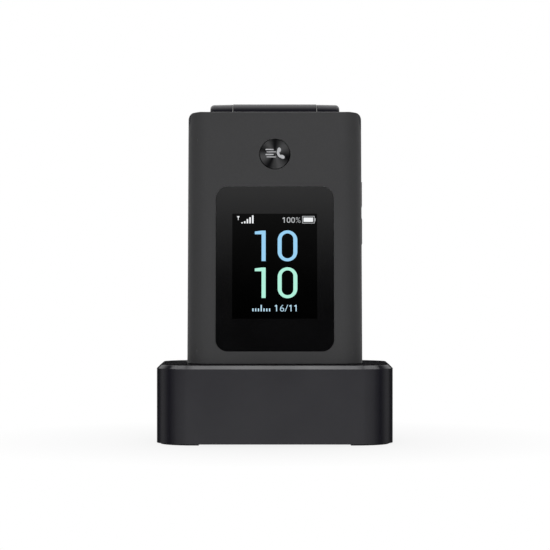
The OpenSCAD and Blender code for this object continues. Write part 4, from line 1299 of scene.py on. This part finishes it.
@dataclass
class QuickCallKey:
    """The round quick-call key: a dished spun disc with a thin rim, and its printed sign.

    Sizes are in millimetres. Each set of lines gives their length, the X of their middles and their
    heights.
    """

    z: float = 85.2
    face: float = -8.78
    sign_t: float = 0.02
    handset_l: float = 2.5
    handset_stroke: float = 0.84
    handset_middle: Pair = (1.5, -0.04)
    handset_turn: float = 25.0
    pale_lines: tuple[float, float, Pair] = (2.7, -1.72, (1.45, -0.19))
    grey_lines: tuple[float, float, Pair] = (3.1, -1.16, (0.66, -1.0))
    line_t: float = 0.38
    line_r: float = 0.18

    def build(self) -> None:
        """Dress the key and print its sign."""
        # Spun and dark-anodised aluminium, with a painted reflection: a dim fan of light and dark wedges that
        # meets in the middle
        spun = SpunMetal("spun_dark_anodised_disc", "#18181a", "#6c6c6d", DOCK.point(0.0, self.face, self.z))
        dress(spun, "quick_call_key")
        stand = DOCK.sign_place(0.0, self.face, self.z)
        phone = handset(self.handset_l, self.handset_stroke, self.sign_t, self.handset_middle,
                        self.handset_turn)
        pale, grey = self.lines(*self.pale_lines), self.lines(*self.grey_lines)
        settle(joined(pale + [phone]), "quick_call_sign", stand, PALE_INK, "quick_call_key")
        settle(joined(grey), "quick_call_grey_lines", stand, GREY_INK, "quick_call_key")

    def lines(self, length: float, x: float, heights: Sequence[float]) -> list[Piece]:
        """Model round-ended lines of one length."""
        return [slab(length, self.line_t, self.sign_t, (x, z), self.line_r) for z in heights]


@dataclass
class InnerScreen:
    """What the inner screen shows when the lid is open: a dark blue field with a clock.

    Sizes are in millimetres. Each line of figures gives their width, height and the Y of their middle.
    """

    face: float = -0.2
    middle_z: float = 53.2
    width: float = 43.0
    height: float = 55.0
    field_t: float = 0.006
    light_t: float = 0.012
    clock: Triple = (25.0, 8.5, 14.0)
    date: Triple = (10.0, 3.0, 5.5)

    def build(self) -> None:
        """Lay the lit field and the figures on it."""
        stand = DOCK.sign_place(0.0, self.face, self.middle_z, Facing.INSIDE_OF_LID)
        settle(slab(self.width, self.height, self.field_t), "inner_screen_field", stand, DEEP_BLUE, "lid")
        lines = [figures(words, width, height, self.light_t, (0.0, y))
                 for words, (width, height, y) in (("10:10", self.clock), ("16/11", self.date))]
        settle(joined(lines), "inner_screen_clock", stand, CLOCK_WHITE, "lid")


# ------------------------------------------------------------------ stage


@dataclass
class Studio:
    """A plain pale floor in soft light. Dark cards beside the object edge its gloss.

    Lengths are in metres. The strips' power is in watts for each square metre.
    """

    floor_size: float = 5.0
    table_level: float = 0.89
    sky_level: float = 0.77
    softbox_w: float = 0.7
    softbox_h: float = 0.4
    strip_h: float = 0.014
    strip_power: float = 0.56
    strip_spread: float = math.radians(40.0)
    strip_z: float = 0.14

    def build(self) -> None:
        """Make the surroundings, the floor and the lamps."""
        self.surround()
        self.floor()
        for name, place, aim_z, power in (("front_softbox", (0.0, -0.9, 0.13), 0.06, 3.55),
                                          ("back_softbox", (0.0, 1.0, 0.5), 0.05, 3.4)):
            softbox = self.lamp(name, place, (0.0, 0.0, aim_z), self.softbox_w, self.softbox_h, power)
            softbox.visible_glossy = False
        # Narrow gridded strips hang over the cradle's front and its corners: they only bring out
        # its top bevel
        self.strip("bevel_strip", (0.0, -0.030, self.strip_z), (0.0, -0.030, 0.0), (1.0, 0.0), 0.13)
        for side, sign in (("left", -1), ("right", 1)):
            self.strip(f"bevel_strip_{side}", (sign * 0.082, 0.003, self.strip_z),
                       (sign * 0.035, -0.019, 0.022), (sign * 0.7, 0.7), 0.072)

    def surround(self) -> None:
        """Make the world: white behind the object, soft and part dark where its gloss looks."""
        world = bpy.data.worlds.new("soft_studio")
        world.use_nodes = True
        tree = world.node_tree
        tree.nodes.clear()
        way = add_node(tree, "TexCoord").outputs["Generated"]
        right, ahead, up = add_node(tree, "SeparateXYZ", {0: way}).outputs
        back = add_node(tree, "Math", {0: ahead, 1: -1.0}, operation="MULTIPLY")
        turn = add_node(tree, "Math", {0: right, 1: back}, operation="ARCTAN2")
        width = add_node(tree, "Math", {0: turn}, operation="ABSOLUTE")
        share = add_node(tree, "Math", {0: width, 1: math.pi}, operation="DIVIDE")
        round_about = add_node(tree, "ValToRGB", {"Fac": share})
        set_stops(round_about.color_ramp, [(degrees / 180, level) for degrees, level in (
            (0, 1.0), (20, 1.0), (29, 0.87), (42, 0.76), (49, 0.68), (56, 0.58), (63, 0.385), (71, 0.256),
            (79, 0.11), (87, 0.145), (96, 0.295), (106, 0.40), (117, 0.33), (130, 0.09), (147, 0.015),
            (160, 0.1), (178, 0.9))])
        height = add_node(tree, "MapRange", {"Value": up, "From Min": -1.0, "From Max": 1.0})
        up_down = add_node(tree, "ValToRGB", {"Fac": height})
        set_stops(up_down.color_ramp, [(0.5 + 0.5 * math.sin(math.radians(degrees)), level)
                                       for degrees, level in (
            (-90, self.table_level), (-1.2, self.table_level), (1.0, 0.0), (15.0, 0.0), (15.9, 0.08),
            (16.6, 0.24), (17.15, 0.42), (17.7, 0.66), (18.1, self.sky_level), (50, self.sky_level),
            (62, 0.05), (90, 0.05))])
        # Above the dark cards the backdrop shows again
        clear = add_node(tree, "MapRange", {"Value": share, "From Min": 0.72, "From Max": 0.80})
        high = add_node(tree, "MapRange", {"Value": up, "From Min": 0.2, "From Max": 0.35})
        behind = add_node(tree, "Math", {0: clear, 1: high}, operation="MULTIPLY")
        ring = add_node(tree, "Math", {0: round_about, 1: behind}, operation="MAXIMUM")
        cards = add_node(tree, "Math", {0: ring, 1: up_down}, operation="MULTIPLY")
        # A wide softbox hangs behind the zenith: the arch runs from the front over the top
        arch = add_node(tree, "Math", {0: up, 1: back}, operation="ARCTAN2")
        along = add_node(tree, "Math", {0: arch, 1: math.pi}, operation="DIVIDE")
        softbox = add_node(tree, "ValToRGB", {"Fac": along})
        set_stops(softbox.color_ramp, [(degrees / 180, level) for degrees, level in (
            (0, 0.0), (76, 0.02), (84, 0.26), (94, 0.62), (106, 1.0), (119, 1.0), (136, 0.8), (158, 0.3),
            (175, 0.0))])
        aside = add_node(tree, "Math", {0: right}, operation="ABSOLUTE")
        reach = add_node(tree, "MapRange", {"Value": aside, "From Min": 0.50, "From Max": 0.485})
        over = add_node(tree, "Math", {0: softbox, 1: reach}, operation="MULTIPLY")
        dim = add_node(tree, "Math", {0: cards, 1: over}, operation="MAXIMUM")
        rays = add_node(tree, "LightPath").outputs
        plain = add_node(tree, "Math", {0: rays["Is Camera Ray"], 1: rays["Is Transmission Ray"]},
                         operation="MAXIMUM")
        # The gloss sees the white background as far as the dark cards let it through
        glossy = add_node(tree, "Math", {0: rays["Is Glossy Ray"], 1: dim}, operation="MULTIPLY")
        seen = add_node(tree, "Math", {0: plain, 1: glossy}, operation="MAXIMUM")
        level = add_node(tree, "Math", {0: seen, 1: dim}, operation="MAXIMUM")
        white = add_node(tree, "Background", {"Color": WHITE, "Strength": level})
        add_node(tree, "OutputWorld", {"Surface": white})
        bpy.context.scene.world = world

    def floor(self) -> None:
        """Lay a pale floor that the camera sees as white, apart from the object's shadow."""
        start_fresh()
        bpy.ops.mesh.primitive_plane_add(size=self.floor_size)
        floor = bpy.context.active_object
        floor.name = "pale_floor"
        floor.data.materials.append(PALE_FLOOR.material())
        # The gloss looks past the floor at the surroundings, which hold the table's brightness
        floor.visible_glossy = False

    def strip(self, name: str, place: Triple, aim: Triple, along: Pair, width: float) -> None:
        """Hang a narrow lamp behind a grid, which only glossy surfaces show.

        Args:
            name: Its name.
            place: Where it hangs, in metres.
            aim: The point that it looks at.
            along: The way that its long side runs, in X and Y.
            width: Its long side, in metres.
        """
        made = self.lamp(name, place, aim, width, self.strip_h, self.strip_power * width * self.strip_h)
        look, run = (Vector(aim) - Vector(place)).normalized(), Vector((*along, 0.0))
        side = (run - look * look.dot(run)).normalized()
        made.rotation_euler = Matrix((side, -look.cross(side), -look)).transposed().to_euler()
        made.visible_diffuse = False
        made.data.spread = self.strip_spread

    def lamp(self, name: str, place: Triple, aim: Triple, width: float, height: float, power: float) -> Piece:
        """Hang a rectangular soft lamp.

        Args:
            name: Its name.
            place: Where it hangs, in metres.
            aim: The point that it looks at.
            width: Its width, in metres.
            height: Its other side.
            power: Its power, in watts.

        Returns:
            The lamp.
        """
        start_fresh()
        bpy.ops.object.light_add(type="AREA", location=place)
        made = bpy.context.active_object
        made.name = name
        made.data.shape = "RECTANGLE"
        made.data.size = width
        made.data.size_y = height
        made.data.energy = power
        made.rotation_euler = (Vector(aim) - Vector(place)).to_track_quat("-Z", "Y").to_euler()
        made.visible_camera = False
        return made


@dataclass
class Viewpoint:
    """A level camera in front of the object, at about half its height. Places are in millimetres."""

    x: float = 0.0576
    distance: float = 817.0
    height: float = 57.5
    shift_y: float = -0.01615
    lens: float = 162.05
    sensor: float = 36.0

    def build(self) -> None:
        """Set up the camera."""
        start_fresh()
        bpy.ops.object.camera_add(location=(self.x * MM, -self.distance * MM, self.height * MM),
                                  rotation=(math.pi / 2, 0.0, 0.0))
        camera = bpy.context.active_object
        camera.name = "front_camera"
        camera.data.lens = self.lens
        camera.data.shift_y = self.shift_y
        camera.data.sensor_width = self.sensor
        camera.data.clip_start = 0.01
        camera.data.clip_end = 20.0
        bpy.context.scene.camera = camera


def main() -> None:
    """Build the stage and every sub-assembly, and report each one."""
    logging.basicConfig(level=logging.INFO, format="%(name)s: %(message)s")
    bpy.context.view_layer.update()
    bpy.context.scene.view_settings.view_transform = "Standard"
    for part in (Viewpoint(), Studio(), Cradle(), KeypadHalf(), Hinge(), Lid(), OuterScreen(),
                 QuickCallKey(), InnerScreen()):
        part.build()
        LOG.info("built %s", type(part).__name__)
    start_fresh()


if __name__ == "__main__":
    main()
